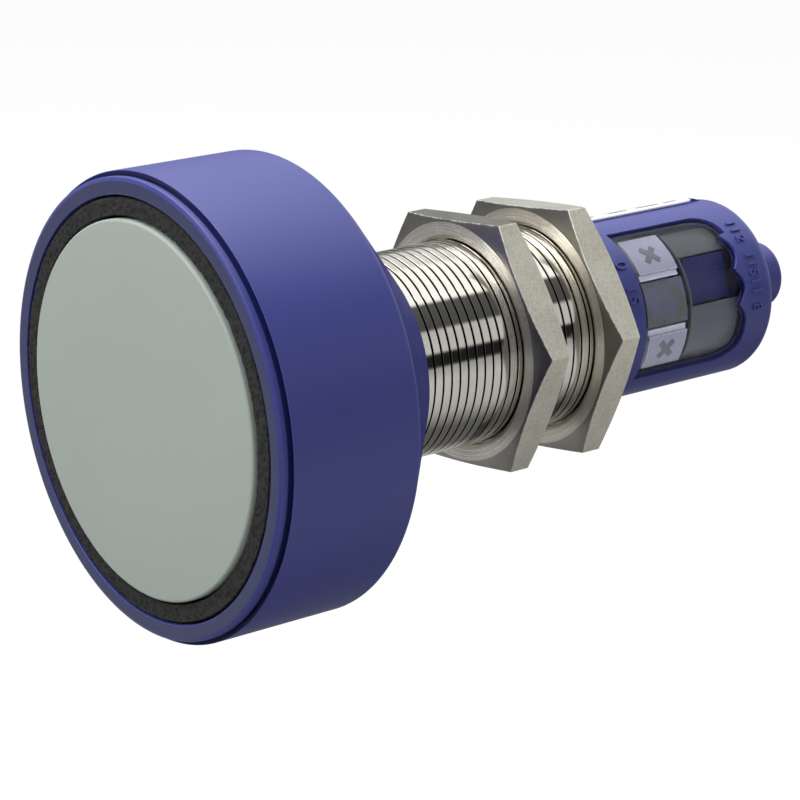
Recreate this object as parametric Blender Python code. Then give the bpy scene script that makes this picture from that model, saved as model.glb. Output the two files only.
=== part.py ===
"""Ultrasonic distance sensor: a wide round head on a threaded M30 sleeve with two lock nuts.

The sensor's axis is the Y axis. The middle of the sound-emitting face is the origin and looks
towards -Y, and the round plug stub is at the +Y end. The clear window of the rear housing looks
towards +X, turned a little upwards. Sizes are in metres and angles in degrees.
"""

import math

import bmesh
import bpy
from mathutils import Vector

# Clearances
SEAT_GAP = 0.0003  # between two pieces that rest on each other
NUT_CLEARANCE = 0.0002  # round the sleeve, so that the nuts turn freely

# Facets of round pieces
HEAD_SEGMENTS = 64
BODY_SEGMENTS = 48
SMALL_SEGMENTS = 20
PIN_SEGMENTS = 10
ARC_STEPS = 3

# Sound transducer in the head
FACE_RADIUS = 0.0262
FACE_THICKNESS = 0.005
FACE_EDGE = 0.0004
FOAM_WIDTH = 0.0026
FOAM_DEPTH = 0.0132
PIEZO_RADIUS = 0.018
PIEZO_THICKNESS = 0.004
WIRE_HOLE_RADIUS = 0.005
WIRE_RADIUS = 0.0006
WIRE_SPACING = 0.005  # between the two leads at the piezo disc
WIRE_PAD_SPACING = 0.008  # between their pads on the main board
WIRE_LANDING = 0.005  # how far each lead lies along the main board
WIRE_STEPS = 14

# Ring that closes the head
BEZEL_SETBACK = 0.0005  # how far the ring's flat front lies behind the face
BEZEL_WIDTH = 0.0024
BEZEL_EDGE = 0.0008
BEZEL_FLANGE_DEPTH = 0.0011
BEZEL_SPIGOT_DEPTH = 0.0036
BEZEL_STEP = 0.0008

# Head housing
HEAD_SETBACK = 0.002  # front edge of the housing behind the face
HEAD_GROOVE = 0.0006  # open groove between the ring and the housing's lip
HEAD_LIP = 0.0001  # flat edge outside the countersink that faces the ring
HEAD_SIDE_LENGTH = 0.0204
HEAD_RIM_ROUND = 0.0012
CONE_LENGTH = 0.0139
CONE_WALL = 0.0026
COLLAR_WALL = 0.0018
COLLAR_EDGE = 0.0004
SOCKET_WALL = 0.0023
SOCKET_FLOOR = 0.0015
SOCKET_FLOOR_WIDTH = 0.0021

# Threaded sleeve, M30 x 1.5
SLEEVE_RADIUS = 0.015
SLEEVE_WALL = 0.0015
SLEEVE_LENGTH = 0.0482
SLEEVE_ENGAGEMENT = 0.0085  # how deep it goes into the collar of the head
SLEEVE_EDGE = 0.0004

# O-rings
HEAD_SEAL_THICKNESS = 0.0013
HEAD_SEAL_INSET = 0.0018
REAR_SEAL_THICKNESS = 0.0009
REAR_SEAL_INSET = 0.004
SEAL_SEGMENTS = 6
SEAL_STEPS = 32

# Lock nuts
NUT_WALL = 0.003  # from the thread's outer diameter to a flat
NUT_THICKNESS = 0.005
NUT_CORNER_DROP = 0.0009
NUT_FLAT_RIM = 0.0004  # from the turned face's edge to the middle of a flat
NUT_LEAD_IN = 0.0007
NUT_BLANK_RATIO = 1.03  # radius of the turned blank over that of the hexagon's corners
BRACKET_GAP = 0.0084  # free length of sleeve between the nuts
REAR_NUT_INSET = 0.003  # from the rear nut to the sleeve's end
FRONT_NUT_TURN = 5.2
REAR_NUT_TURN = 6.5

# Rear housing
REAR_STEP = 0.0015  # how far its side lies below the sleeve's
REAR_WALL = 0.0015
REAR_LENGTH = 0.0307
REAR_END_WALL = 0.0015
REAR_END_ROUND = 0.002
SPIGOT_LENGTH = 0.010
SPIGOT_WALL = 0.0022
SPIGOT_EDGE = 0.0004
SHOULDER_DEPTH = 0.0012
STUB_RADIUS = 0.00515
STUB_LENGTH = 0.0099
STUB_WALL = 0.0013
STUB_EDGE = 0.0008
KEYWAY_WIDTH = 0.001
KEYWAY_HEIGHT = 0.0007
KEYWAY_SETBACK = 0.0005

# Window in the rear housing; its angles are counted from the middle of the window
WINDOW_TURN = 17.75
WINDOW_HALF_ANGLE = 54.25
WINDOW_OFFSET = 0.0037  # from the housing's front shoulder
WINDOW_LENGTH = 0.0207
WINDOW_CORNER = 0.0045
WINDOW_RECESS = 0.0004
COVER_THICKNESS = 0.0007
CUSP_COUNT = 3
CUSP_MIDDLE = 9.6
CUSP_SPACING = 24.0
CUSP_DEPTH = 0.0014
LABEL_PAD_ANGLES = (78.0, 132.0)
LABEL_PAD_HEIGHT = 0.00045
STATION_STEP = 4.8
CORNER_STATIONS = 4

# Keys and the fields beside them
KEY_OFFSET = 0.002  # behind the window's front edge
KEY_LENGTH = 0.0075
KEY_THICKNESS = 0.0009
KEY_1_ANGLES = (19.8, 50.3)
KEY_2_ANGLES = (-24.6, -50.6)
KEY_SHELF_ANGLE = 4.0
KEY_SHELF_DROP = 0.0005
KEY_STEM_RADIUS = 0.001
KEY_STEM_ANGLE = 29.7
GUIDE_LENGTH = 0.008
GUIDE_THICKNESS = 0.0006
GUIDE_DROP = 0.0006
GUIDE_LEG = 0.0016
GUIDE_LEG_SPREAD = 0.0021
SURROUND_LENGTH = 0.0096
SURROUND_ANGLE = 51.0
SURROUND_THICKNESS = 0.0006
DISPLAY_WIDTH = 0.0068
DISPLAY_MIDDLE = 0.0017
DISPLAY_DROP = 0.0015  # its face below the top of the keys

# Boards; heights are over the sensor's axis towards the window
MAIN_BOARD_TOP = -0.0004
MAIN_BOARD_THICKNESS = 0.0016
MAIN_BOARD_INSET = 0.0122  # behind the sleeve's front end
PARTS_INSET = 0.010  # bare stretch of board where the leads land
KEY_BOARD_DEPTH = 0.0064  # its underside below the wall of the cavity
KEY_BOARD_THICKNESS = 0.001
KEY_BOARD_MARGIN = 0.0013  # from its edges to the underside of the keys
KEY_BOARD_LENGTH = 0.0204
KEY_BOARD_OFFSET = 0.001  # behind the window's front edge
SWITCH_WIDTH = 0.0026
SWITCH_HEIGHT = 0.001
PLUNGER_RADIUS = 0.0007
PLUNGER_HEIGHT = 0.0004
LED_WIDTH = 0.0016
LED_LENGTH = 0.002
LED_HEIGHT = 0.0012
LINK_WIDTH = 0.0076
LINK_LENGTH = 0.0025
TRANSFORMER_RADIUS = 0.0045
TRANSFORMER_HEIGHT = 0.008
TRANSFORMER_NECK = 0.0011
CAPACITOR_RADIUS = 0.0031
CAPACITOR_HEIGHT = 0.0072
CONTROLLER_WIDTH = 0.007
DRIVER_WIDTH = 0.005
CHIP_HEIGHT = 0.0014
SENSOR_WIDTH = 0.002

# Plug contacts
INSERT_DEPTH = 0.007  # from the stub's end down to the insert's face
INSERT_FLANGE = 0.0009
INSERT_FLANGE_THICKNESS = 0.0013
PIN_RADIUS = 0.0005
PIN_CIRCLE = 0.0026
PIN_SETBACK = 0.0012
PIN_TURN = 45.0
PIN_TAIL = 0.003

# Places along the axis, worked out from the sizes above
HEAD_RIM_Y = HEAD_SETBACK + HEAD_SIDE_LENGTH
COLLAR_END_Y = HEAD_RIM_Y + CONE_LENGTH
SLEEVE_FRONT_Y = COLLAR_END_Y - SLEEVE_ENGAGEMENT
SLEEVE_REAR_Y = SLEEVE_FRONT_Y + SLEEVE_LENGTH
REAR_NUT_Y = SLEEVE_REAR_Y - REAR_NUT_INSET - NUT_THICKNESS
FRONT_NUT_Y = REAR_NUT_Y - BRACKET_GAP - NUT_THICKNESS
SHOULDER_Y = SLEEVE_REAR_Y + SEAT_GAP
SPIGOT_FRONT_Y = SHOULDER_Y - SPIGOT_LENGTH
REAR_END_Y = SHOULDER_Y + REAR_LENGTH
CAVITY_END_Y = REAR_END_Y - REAR_END_WALL
STUB_END_Y = REAR_END_Y + STUB_LENGTH
WINDOW_FRONT_Y = SHOULDER_Y + WINDOW_OFFSET
WINDOW_REAR_Y = WINDOW_FRONT_Y + WINDOW_LENGTH
KEY_FRONT_Y = WINDOW_FRONT_Y + KEY_OFFSET
SURROUND_FRONT_Y = KEY_FRONT_Y + GUIDE_LENGTH + 2 * SEAT_GAP
KEY_BOARD_FRONT_Y = WINDOW_FRONT_Y + KEY_BOARD_OFFSET
INSERT_FACE_Y = STUB_END_Y - INSERT_DEPTH
INSERT_REAR_Y = CAVITY_END_Y - SEAT_GAP - INSERT_FLANGE_THICKNESS
PIN_REAR_Y = INSERT_REAR_Y - PIN_TAIL
MAIN_BOARD_REAR_Y = PIN_REAR_Y - SEAT_GAP
MAIN_BOARD_FRONT_Y = SLEEVE_FRONT_Y + MAIN_BOARD_INSET

# Radii, worked out from the sizes above
FOAM_INNER = FACE_RADIUS + SEAT_GAP
FOAM_OUTER = FOAM_INNER + FOAM_WIDTH
BEZEL_INNER = FOAM_OUTER + SEAT_GAP
BEZEL_OUTER = BEZEL_INNER + BEZEL_WIDTH
LIP_INNER = BEZEL_OUTER + HEAD_GROOVE
HEAD_RADIUS = LIP_INNER + HEAD_LIP
SOCKET_RADIUS = SLEEVE_RADIUS + SEAT_GAP
COLLAR_RADIUS = SOCKET_RADIUS + COLLAR_WALL
SLEEVE_BORE = SLEEVE_RADIUS - SLEEVE_WALL
SPIGOT_RADIUS = SLEEVE_BORE - SEAT_GAP
SPIGOT_BORE = SPIGOT_RADIUS - SPIGOT_WALL
NUT_FLAT_RADIUS = SLEEVE_RADIUS + NUT_WALL
REAR_RADIUS = SLEEVE_RADIUS - REAR_STEP
CAVITY_RADIUS = REAR_RADIUS - REAR_WALL
COVER_OUTER = REAR_RADIUS - WINDOW_RECESS
COVER_INNER = COVER_OUTER - COVER_THICKNESS
KEY_OUTER = COVER_INNER - SEAT_GAP
KEY_INNER = KEY_OUTER - KEY_THICKNESS
KEY_STEM_SPREAD = KEY_OUTER * math.sin(math.radians(KEY_STEM_ANGLE))
SURROUND_OUTER = CAVITY_RADIUS - SEAT_GAP
DISPLAY_LEVEL = KEY_OUTER - DISPLAY_DROP
KEY_BOARD_LEVEL = CAVITY_RADIUS - KEY_BOARD_DEPTH
KEY_BOARD_TOP = KEY_BOARD_LEVEL + KEY_BOARD_THICKNESS
STUB_BORE = STUB_RADIUS - STUB_WALL


def clear_scene():
    """Remove every object, so that the model starts from an empty scene."""
    for obj in list(bpy.data.objects):
        bpy.data.objects.remove(obj, do_unlink=True)


def make_material(name, colour, roughness, metallic=0.0):
    """A plain Principled material in a linear colour."""
    material = bpy.data.materials.new(name)
    material.use_nodes = True
    shader = material.node_tree.nodes["Principled BSDF"]
    shader.inputs["Base Color"].default_value = (*colour, 1.0)
    shader.inputs["Roughness"].default_value = roughness
    shader.inputs["Metallic"].default_value = metallic
    material.diffuse_color = (*colour, 1.0)
    return material


def make_materials():
    """One material for each kind of stuff in the sensor."""
    return {
        "blue": make_material("housing_blue", (0.085, 0.080, 0.32), 0.5),
        "bezel": make_material("bezel_blue", (0.055, 0.06, 0.16), 0.55),
        "face": make_material("face_grey", (0.36, 0.39, 0.36), 0.45),
        "foam": make_material("foam_black", (0.02, 0.02, 0.022), 0.95),
        "nickel": make_material("nickel", (0.55, 0.53, 0.48), 0.3, 1.0),
        "clear": make_material("clear_cover", (0.75, 0.75, 0.78), 0.1),
        "frosted": make_material("frosted_key", (0.45, 0.46, 0.55), 0.4),
        "dark": make_material("dark_display", (0.02, 0.02, 0.09), 0.2),
        "rubber": make_material("seal_rubber", (0.015, 0.015, 0.015), 0.7),
        "ceramic": make_material("piezo_ceramic", (0.5, 0.45, 0.3), 0.6),
        "board": make_material("circuit_board", (0.02, 0.14, 0.05), 0.5),
        "component": make_material("component_black", (0.02, 0.02, 0.02), 0.5),
        "gold": make_material("contact_gold", (0.8, 0.55, 0.2), 0.25, 1.0),
        "wire": make_material("wire_red", (0.4, 0.03, 0.02), 0.5),
    }


def link(obj, material, parent=None):
    """Put an object into the scene with its material and its parent."""
    bpy.context.scene.collection.objects.link(obj)
    if material is not None:
        obj.data.materials.append(material)
    obj.parent = parent
    return obj


def finish_mesh(name, bm, material, parent=None):
    """Turn a bmesh into an object with outward faces and smooth round sides."""
    bm.normal_update()
    bmesh.ops.recalc_face_normals(bm, faces=bm.faces)
    mesh = bpy.data.meshes.new(name)
    bm.to_mesh(mesh)
    bm.free()
    mesh.shade_smooth()
    mesh.set_sharp_from_angle(angle=math.radians(30))
    return link(bpy.data.objects.new(name, mesh), material, parent)


def make_empty(name, location=(0, 0, 0), parent=None):
    """An empty that carries the pieces of a joint or of a turned frame."""
    empty = bpy.data.objects.new(name, None)
    empty.location = location
    return link(empty, None, parent)


def round_corner(before, corner, after, radius):
    """Points of an arc that rounds one corner of an outline."""
    corner = Vector(corner)
    arm_in = (Vector(before) - corner).normalized()
    arm_out = (Vector(after) - corner).normalized()
    half = arm_in.angle(arm_out) / 2
    reach = radius / math.tan(half)
    centre = corner + (arm_in + arm_out).normalized() * radius / math.sin(half)
    start = corner + arm_in * reach - centre
    end = corner + arm_out * reach - centre
    points = []
    for step in range(ARC_STEPS + 1):
        spoke = start.lerp(end, step / ARC_STEPS).normalized() * radius
        points.append(tuple(centre + spoke))
    return points


def round_outline(outline):
    """Replace each corner that names a radius, as (r, y, radius), by an arc."""
    points = []
    count = len(outline)
    for index, corner in enumerate(outline):
        if len(corner) == 2:
            points.append(corner)
            continue
        before = outline[index - 1][:2]
        after = outline[(index + 1) % count][:2]
        points.extend(round_corner(before, corner[:2], after, corner[2]))
    return points


def turn(name, outline, segments, material, parent=None):
    """Turn a closed outline of (radius, y) corners round the Y axis."""
    bm = bmesh.new()
    verts = [bm.verts.new((r, y, 0.0)) for r, y in round_outline(outline)]
    edges = [bm.edges.new((verts[i - 1], verts[i])) for i in range(len(verts))]
    on_axis = [e for e in edges if all(v.co.x == 0 for v in e.verts)]
    bmesh.ops.delete(bm, geom=on_axis, context="EDGES")
    bmesh.ops.spin(
        bm,
        geom=bm.verts[:] + bm.edges[:],
        cent=(0, 0, 0),
        axis=(0, 1, 0),
        angle=2 * math.pi,
        steps=segments,
        use_merge=True,
    )
    bmesh.ops.remove_doubles(bm, verts=bm.verts, dist=1e-7)
    return finish_mesh(name, bm, material, parent)


def make_block(name, low, high, material, parent=None):
    """A square-edged block between two corners."""
    bm = bmesh.new()
    bmesh.ops.create_cube(bm, size=1.0)
    for vert in bm.verts:
        for axis in range(3):
            vert.co[axis] = low[axis] if vert.co[axis] < 0 else high[axis]
    return finish_mesh(name, bm, material, parent)


def make_post(name, centre, low, high, radius, segments, parent=None, material=None):
    """A round post that stands on the window's direction, the local X axis."""
    bm = bmesh.new()
    bmesh.ops.create_cone(
        bm, cap_ends=True, segments=segments, radius1=radius, radius2=radius, depth=1.0
    )
    for vert in bm.verts:
        across, along, height = vert.co
        level = low if height < 0 else high
        vert.co = (level, centre[0] + along, centre[1] + across)
    return finish_mesh(name, bm, material, parent)


def cut(target, tool, operation="DIFFERENCE"):
    """Combine a target with a tool by a Boolean modifier, and hide the tool."""
    modifier = target.modifiers.new(f"{operation.lower()}_{tool.name}", "BOOLEAN")
    modifier.operation = operation
    modifier.solver = "EXACT"
    modifier.object = tool
    tool.hide_render = True
    tool.display_type = "WIRE"


def sloped(start, end, radius):
    """The y at which the line through two (radius, y) points has a given radius."""
    share = (radius - start[0]) / (end[0] - start[0])
    return start[1] + share * (end[1] - start[1])


def build_head_housing(materials):
    """The blue cup: straight side, rounded rim, cone, collar, and a socket for the sleeve."""
    rim = (HEAD_RADIUS, HEAD_RIM_Y)
    collar = (COLLAR_RADIUS, COLLAR_END_Y)
    slope = Vector((rim[0] - collar[0], collar[1] - rim[1])).normalized()
    inner_rim = (rim[0] - slope.y * CONE_WALL, rim[1] - slope.x * CONE_WALL)
    inner_collar = (collar[0] - slope.y * CONE_WALL, collar[1] - slope.x * CONE_WALL)
    cavity_end = sloped(inner_rim, inner_collar, BEZEL_INNER)
    tube_radius = SOCKET_RADIUS + SOCKET_WALL
    tube_end = sloped(inner_rim, inner_collar, tube_radius)
    socket_floor = SLEEVE_FRONT_Y - SEAT_GAP
    tube_front = socket_floor - SOCKET_FLOOR
    bezel_seat = BEZEL_SETBACK + BEZEL_FLANGE_DEPTH + BEZEL_SPIGOT_DEPTH + SEAT_GAP
    spigot_wall = BEZEL_OUTER - BEZEL_STEP + SEAT_GAP
    countersink_end = HEAD_SETBACK + LIP_INNER - spigot_wall
    groove_rear = COLLAR_END_Y - HEAD_SEAL_INSET
    groove_front = groove_rear - HEAD_SEAL_THICKNESS - 2 * SEAT_GAP
    groove_radius = SLEEVE_RADIUS + HEAD_SEAL_THICKNESS + 2 * SEAT_GAP
    outline = [
        (LIP_INNER, HEAD_SETBACK),
        (HEAD_RADIUS, HEAD_SETBACK),
        (*rim, HEAD_RIM_ROUND),
        (*collar, COLLAR_EDGE),
        (SOCKET_RADIUS, COLLAR_END_Y),
        (SOCKET_RADIUS, groove_rear),
        (groove_radius, groove_rear),
        (groove_radius, groove_front),
        (SOCKET_RADIUS, groove_front),
        (SOCKET_RADIUS, socket_floor),
        (SOCKET_RADIUS - SOCKET_FLOOR_WIDTH, socket_floor),
        (SOCKET_RADIUS - SOCKET_FLOOR_WIDTH, tube_front),
        (tube_radius, tube_front),
        (tube_radius, tube_end),
        (BEZEL_INNER, cavity_end),
        (BEZEL_INNER, bezel_seat),
        (spigot_wall, bezel_seat),
        (spigot_wall, countersink_end),
    ]
    turn("head_housing", outline, HEAD_SEGMENTS, materials["blue"])
    return cavity_end


def build_bezel(materials):
    """The ring pressed into the front of the cup, with a flange and a spigot."""
    flange_end = BEZEL_SETBACK + BEZEL_FLANGE_DEPTH
    outline = [
        (BEZEL_INNER, BEZEL_SETBACK),
        (BEZEL_OUTER, BEZEL_SETBACK, BEZEL_EDGE),
        (BEZEL_OUTER, flange_end),
        (BEZEL_OUTER - BEZEL_STEP, flange_end),
        (BEZEL_OUTER - BEZEL_STEP, flange_end + BEZEL_SPIGOT_DEPTH),
        (BEZEL_INNER, flange_end + BEZEL_SPIGOT_DEPTH),
    ]
    turn("front_bezel", outline, HEAD_SEGMENTS, materials["bezel"])


def build_transducer(materials, cavity_end):
    """Face, foam ring, piezo disc and backing foam, one behind the other."""
    face = [
        (0.0, 0.0),
        (FACE_RADIUS, 0.0, FACE_EDGE),
        (FACE_RADIUS, FACE_THICKNESS),
        (0.0, FACE_THICKNESS),
    ]
    turn("transducer_face", face, HEAD_SEGMENTS, materials["face"])
    foam_end = BEZEL_SETBACK + FOAM_DEPTH
    foam = [
        (FOAM_INNER, BEZEL_SETBACK),
        (FOAM_OUTER, BEZEL_SETBACK),
        (FOAM_OUTER, foam_end),
        (FOAM_INNER, foam_end),
    ]
    turn("foam_ring", foam, HEAD_SEGMENTS, materials["foam"])
    piezo_front = FACE_THICKNESS + SEAT_GAP
    piezo_rear = piezo_front + PIEZO_THICKNESS
    piezo = [
        (0.0, piezo_front),
        (PIEZO_RADIUS, piezo_front),
        (PIEZO_RADIUS, piezo_rear),
        (0.0, piezo_rear),
    ]
    turn("piezo_disc", piezo, BODY_SEGMENTS, materials["ceramic"])
    backing = [
        (PIEZO_RADIUS + SEAT_GAP, piezo_front),
        (FACE_RADIUS, piezo_front),
        (FACE_RADIUS, foam_end + SEAT_GAP),
        (FOAM_OUTER, foam_end + SEAT_GAP),
        (FOAM_OUTER, cavity_end),
        (WIRE_HOLE_RADIUS, cavity_end),
        (WIRE_HOLE_RADIUS, piezo_rear + SEAT_GAP),
        (PIEZO_RADIUS + SEAT_GAP, piezo_rear + SEAT_GAP),
    ]
    turn("backing_foam", backing, BODY_SEGMENTS, materials["foam"])
    return piezo_rear + SEAT_GAP


def build_wire(name, side, start, materials, parent):
    """One lead from the piezo disc to its pad on the main board."""
    end = MAIN_BOARD_FRONT_Y + WIRE_LANDING
    level = MAIN_BOARD_TOP + SEAT_GAP + WIRE_RADIUS
    curve = bpy.data.curves.new(name, "CURVE")
    curve.dimensions = "3D"
    curve.bevel_depth = WIRE_RADIUS
    curve.bevel_resolution = 2
    curve.use_fill_caps = True
    spline = curve.splines.new("POLY")
    spline.points.add(WIRE_STEPS)
    for index, point in enumerate(spline.points):
        share = index / WIRE_STEPS
        ease = share * share * (3 - 2 * share)
        spacing = WIRE_SPACING + (WIRE_PAD_SPACING - WIRE_SPACING) * ease
        across = side * spacing / 2
        point.co = (level, start + share * (end - start), across, 1.0)
    link(bpy.data.objects.new(name, curve), materials["wire"], parent)


def build_sleeve(materials):
    """The threaded sleeve as a plain tube at the thread's outer diameter."""
    outline = [
        (SLEEVE_BORE, SLEEVE_FRONT_Y),
        (SLEEVE_RADIUS - SLEEVE_EDGE, SLEEVE_FRONT_Y),
        (SLEEVE_RADIUS, SLEEVE_FRONT_Y + SLEEVE_EDGE),
        (SLEEVE_RADIUS, SLEEVE_REAR_Y - SLEEVE_EDGE),
        (SLEEVE_RADIUS - SLEEVE_EDGE, SLEEVE_REAR_Y),
        (SLEEVE_BORE, SLEEVE_REAR_Y),
    ]
    turn("threaded_sleeve", outline, BODY_SEGMENTS, materials["nickel"])


def build_seal(name, inner, middle, thickness, materials):
    """An O-ring of round section."""
    centre = inner + SEAT_GAP + thickness / 2
    outline = []
    for step in range(SEAL_SEGMENTS):
        angle = 2 * math.pi * step / SEAL_SEGMENTS
        radius = centre + math.cos(angle) * thickness / 2
        outline.append((radius, middle + math.sin(angle) * thickness / 2))
    turn(name, outline, SEAL_STEPS, materials["rubber"])


def build_nut(name, front, turned, materials):
    """A thin hexagon nut, chamfered on both faces; its origin lies on the sensor's axis."""
    axis = make_empty(f"{name}_axis", (0, front, 0))
    bore = SLEEVE_RADIUS + NUT_CLEARANCE
    corner = 2 * NUT_FLAT_RADIUS / math.sqrt(3)
    flat = NUT_FLAT_RADIUS - NUT_FLAT_RIM
    beyond = corner * NUT_BLANK_RATIO
    drop = NUT_CORNER_DROP * (beyond - flat) / (corner - flat)
    outline = [
        (bore + NUT_LEAD_IN, 0.0),
        (flat, 0.0),
        (beyond, drop),
        (beyond, NUT_THICKNESS - drop),
        (flat, NUT_THICKNESS),
        (bore + NUT_LEAD_IN, NUT_THICKNESS),
        (bore, NUT_THICKNESS - NUT_LEAD_IN / 2),
        (bore, NUT_LEAD_IN / 2),
    ]
    nut = turn(name, outline, BODY_SEGMENTS, materials["nickel"], axis)
    bm = bmesh.new()
    bmesh.ops.create_cone(
        bm, cap_ends=True, segments=6, radius1=corner, radius2=corner, depth=3 * NUT_THICKNESS
    )
    for vert in bm.verts:
        angle = math.atan2(vert.co.y, vert.co.x) + math.radians(turned)
        # the cone's first corner lies on its local Y axis, so it is turned to the local X axis
        angle -= math.pi / 2
        vert.co = (corner * math.cos(angle), vert.co.z, corner * math.sin(angle))
    prism = finish_mesh(f"{name}_prism", bm, None, axis)
    cut(nut, prism, "INTERSECT")


def window_rear(angle):
    """Rear edge of the window: shallow scallops that meet in three cusps, then round corners."""
    reach = math.radians(WINDOW_HALF_ANGLE - abs(angle)) * REAR_RADIUS
    if reach < WINDOW_CORNER:
        drop = WINDOW_CORNER - reach
        return WINDOW_REAR_Y - WINDOW_CORNER + math.sqrt(max(WINDOW_CORNER**2 - drop**2, 0.0))
    phase = (angle - CUSP_MIDDLE) / CUSP_SPACING
    if abs(phase) > CUSP_COUNT / 2:
        return WINDOW_REAR_Y
    return WINDOW_REAR_Y - CUSP_DEPTH * (1 - abs(math.sin(math.pi * phase)))


def window_stations(inset):
    """Angles, front and rear edges of the window, drawn in by an inset on every side."""
    half = WINDOW_HALF_ANGLE - math.degrees(inset / REAR_RADIUS)
    angles = {-half, half}
    count = int(2 * half / STATION_STEP)
    for step in range(-count, count + 1):
        angle = CUSP_MIDDLE + step * STATION_STEP
        if abs(angle) < half - STATION_STEP / 2:
            angles.add(angle)
    for step in range(1, CORNER_STATIONS):
        quarter = math.pi / 2 * step / CORNER_STATIONS
        corner = math.degrees(WINDOW_CORNER * (1 - math.cos(quarter)) / REAR_RADIUS)
        if corner < STATION_STEP:
            angles.add(half - corner)
            angles.add(corner - half)
    front = WINDOW_FRONT_Y + inset
    return [(angle, front, window_rear(angle) - inset) for angle in sorted(angles)]


def even_stations(start, end, front, rear):
    """Stations of a plain curved tile between two angles."""
    low = min(start, end)
    high = max(start, end)
    count = max(2, round((high - low) / STATION_STEP))
    return [(low + (high - low) * i / count, front, rear) for i in range(count + 1)]


def curved_band(name, stations, inner, outer, material, parent):
    """A closed curved tile between two radii, lofted through its stations."""
    bm = bmesh.new()
    rings = []
    for angle, front, rear in stations:
        direction = (math.cos(math.radians(angle)), math.sin(math.radians(angle)))
        corners = ((inner, front), (inner, rear), (outer, rear), (outer, front))
        ring = [bm.verts.new((r * direction[0], y, r * direction[1])) for r, y in corners]
        rings.append(ring)
    for ring, following in zip(rings, rings[1:]):
        for index in range(4):
            after = (index + 1) % 4
            bm.faces.new((ring[index], ring[after], following[after], following[index]))
    bm.faces.new(rings[0])
    bm.faces.new(rings[-1])
    return finish_mesh(name, bm, material, parent)


def build_rear_housing(materials, frame):
    """The blue rear moulding: grooved spigot, body, raised label pad, end wall and plug stub."""
    groove_front = SPIGOT_FRONT_Y + REAR_SEAL_INSET
    groove_rear = groove_front + REAR_SEAL_THICKNESS + 2 * SEAT_GAP
    groove_radius = SLEEVE_BORE - REAR_SEAL_THICKNESS - 2 * SEAT_GAP
    outline = [
        (SPIGOT_BORE, SPIGOT_FRONT_Y),
        (SPIGOT_RADIUS - SPIGOT_EDGE, SPIGOT_FRONT_Y),
        (SPIGOT_RADIUS, SPIGOT_FRONT_Y + SPIGOT_EDGE),
        (SPIGOT_RADIUS, groove_front),
        (groove_radius, groove_front),
        (groove_radius, groove_rear),
        (SPIGOT_RADIUS, groove_rear),
        (SPIGOT_RADIUS, SHOULDER_Y),
        (REAR_RADIUS, SHOULDER_Y),
        (REAR_RADIUS, REAR_END_Y, REAR_END_ROUND),
        (STUB_RADIUS, REAR_END_Y),
        (STUB_RADIUS, STUB_END_Y, STUB_EDGE),
        (STUB_BORE, STUB_END_Y),
        (STUB_BORE, CAVITY_END_Y),
        (CAVITY_RADIUS, CAVITY_END_Y),
        (CAVITY_RADIUS, SHOULDER_Y + SHOULDER_DEPTH),
        (SPIGOT_BORE, SHOULDER_Y + SHOULDER_DEPTH),
    ]
    housing = turn("rear_housing", outline, BODY_SEGMENTS, materials["blue"])
    inside = CAVITY_RADIUS - REAR_WALL
    outside = REAR_RADIUS + REAR_WALL
    opening = curved_band("window_cutter", window_stations(0.0), inside, outside, None, frame)
    cut(housing, opening)
    pad_stations = even_stations(*LABEL_PAD_ANGLES, SHOULDER_Y, REAR_END_Y - REAR_END_ROUND)
    pad_foot = REAR_RADIUS - REAR_WALL / 2
    pad_top = REAR_RADIUS + LABEL_PAD_HEIGHT
    pad = curved_band("label_pad", pad_stations, pad_foot, pad_top, None, frame)
    cut(housing, pad, "UNION")
    keyway = make_block(
        "keyway_ridge",
        (STUB_BORE - KEYWAY_HEIGHT, INSERT_FACE_Y + SEAT_GAP, -KEYWAY_WIDTH / 2),
        (STUB_BORE + STUB_WALL / 2, STUB_END_Y - KEYWAY_SETBACK, KEYWAY_WIDTH / 2),
        None,
        frame,
    )
    cut(housing, keyway, "UNION")


def build_window_cover(materials, frame):
    """The clear cover that fills the window, a little below the housing's surface."""
    stations = window_stations(SEAT_GAP)
    curved_band("window_cover", stations, COVER_INNER, COVER_OUTER, materials["clear"], frame)


def build_key(name, angles, side, materials, frame):
    """A frosted key: curved tile, lower shelf on its inner side, and a stem to its switch."""
    spread = side * KEY_STEM_SPREAD
    rear = KEY_FRONT_Y + KEY_LENGTH
    middle = (KEY_FRONT_Y + rear) / 2
    axis = make_empty(f"{name}_slide", (0, middle, spread), frame)
    tile_stations = even_stations(angles[0], angles[1], KEY_FRONT_Y, rear)
    key = curved_band(name, tile_stations, KEY_INNER, KEY_OUTER, materials["frosted"], frame)
    shelf_start = angles[0] - side * KEY_SHELF_ANGLE
    shelf_end = angles[0] + side * KEY_SHELF_ANGLE
    shelf_stations = even_stations(shelf_start, shelf_end, KEY_FRONT_Y, rear)
    shelf_top = KEY_OUTER - KEY_SHELF_DROP
    shelf = curved_band(f"{name}_shelf", shelf_stations, KEY_INNER, shelf_top, None, frame)
    switch_top = KEY_BOARD_TOP + SEAT_GAP + SWITCH_HEIGHT + PLUNGER_HEIGHT
    stem_end = math.sqrt(KEY_OUTER**2 - KEY_STEM_SPREAD**2) - KEY_THICKNESS / 2
    stem = make_post(
        f"{name}_stem",
        (middle, spread),
        switch_top + SEAT_GAP,
        stem_end,
        KEY_STEM_RADIUS,
        PIN_SEGMENTS,
        frame,
    )
    cut(key, shelf, "UNION")
    cut(key, stem, "UNION")
    for piece in (key, shelf, stem):
        for vert in piece.data.vertices:
            vert.co -= axis.location
        piece.parent = axis


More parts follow.
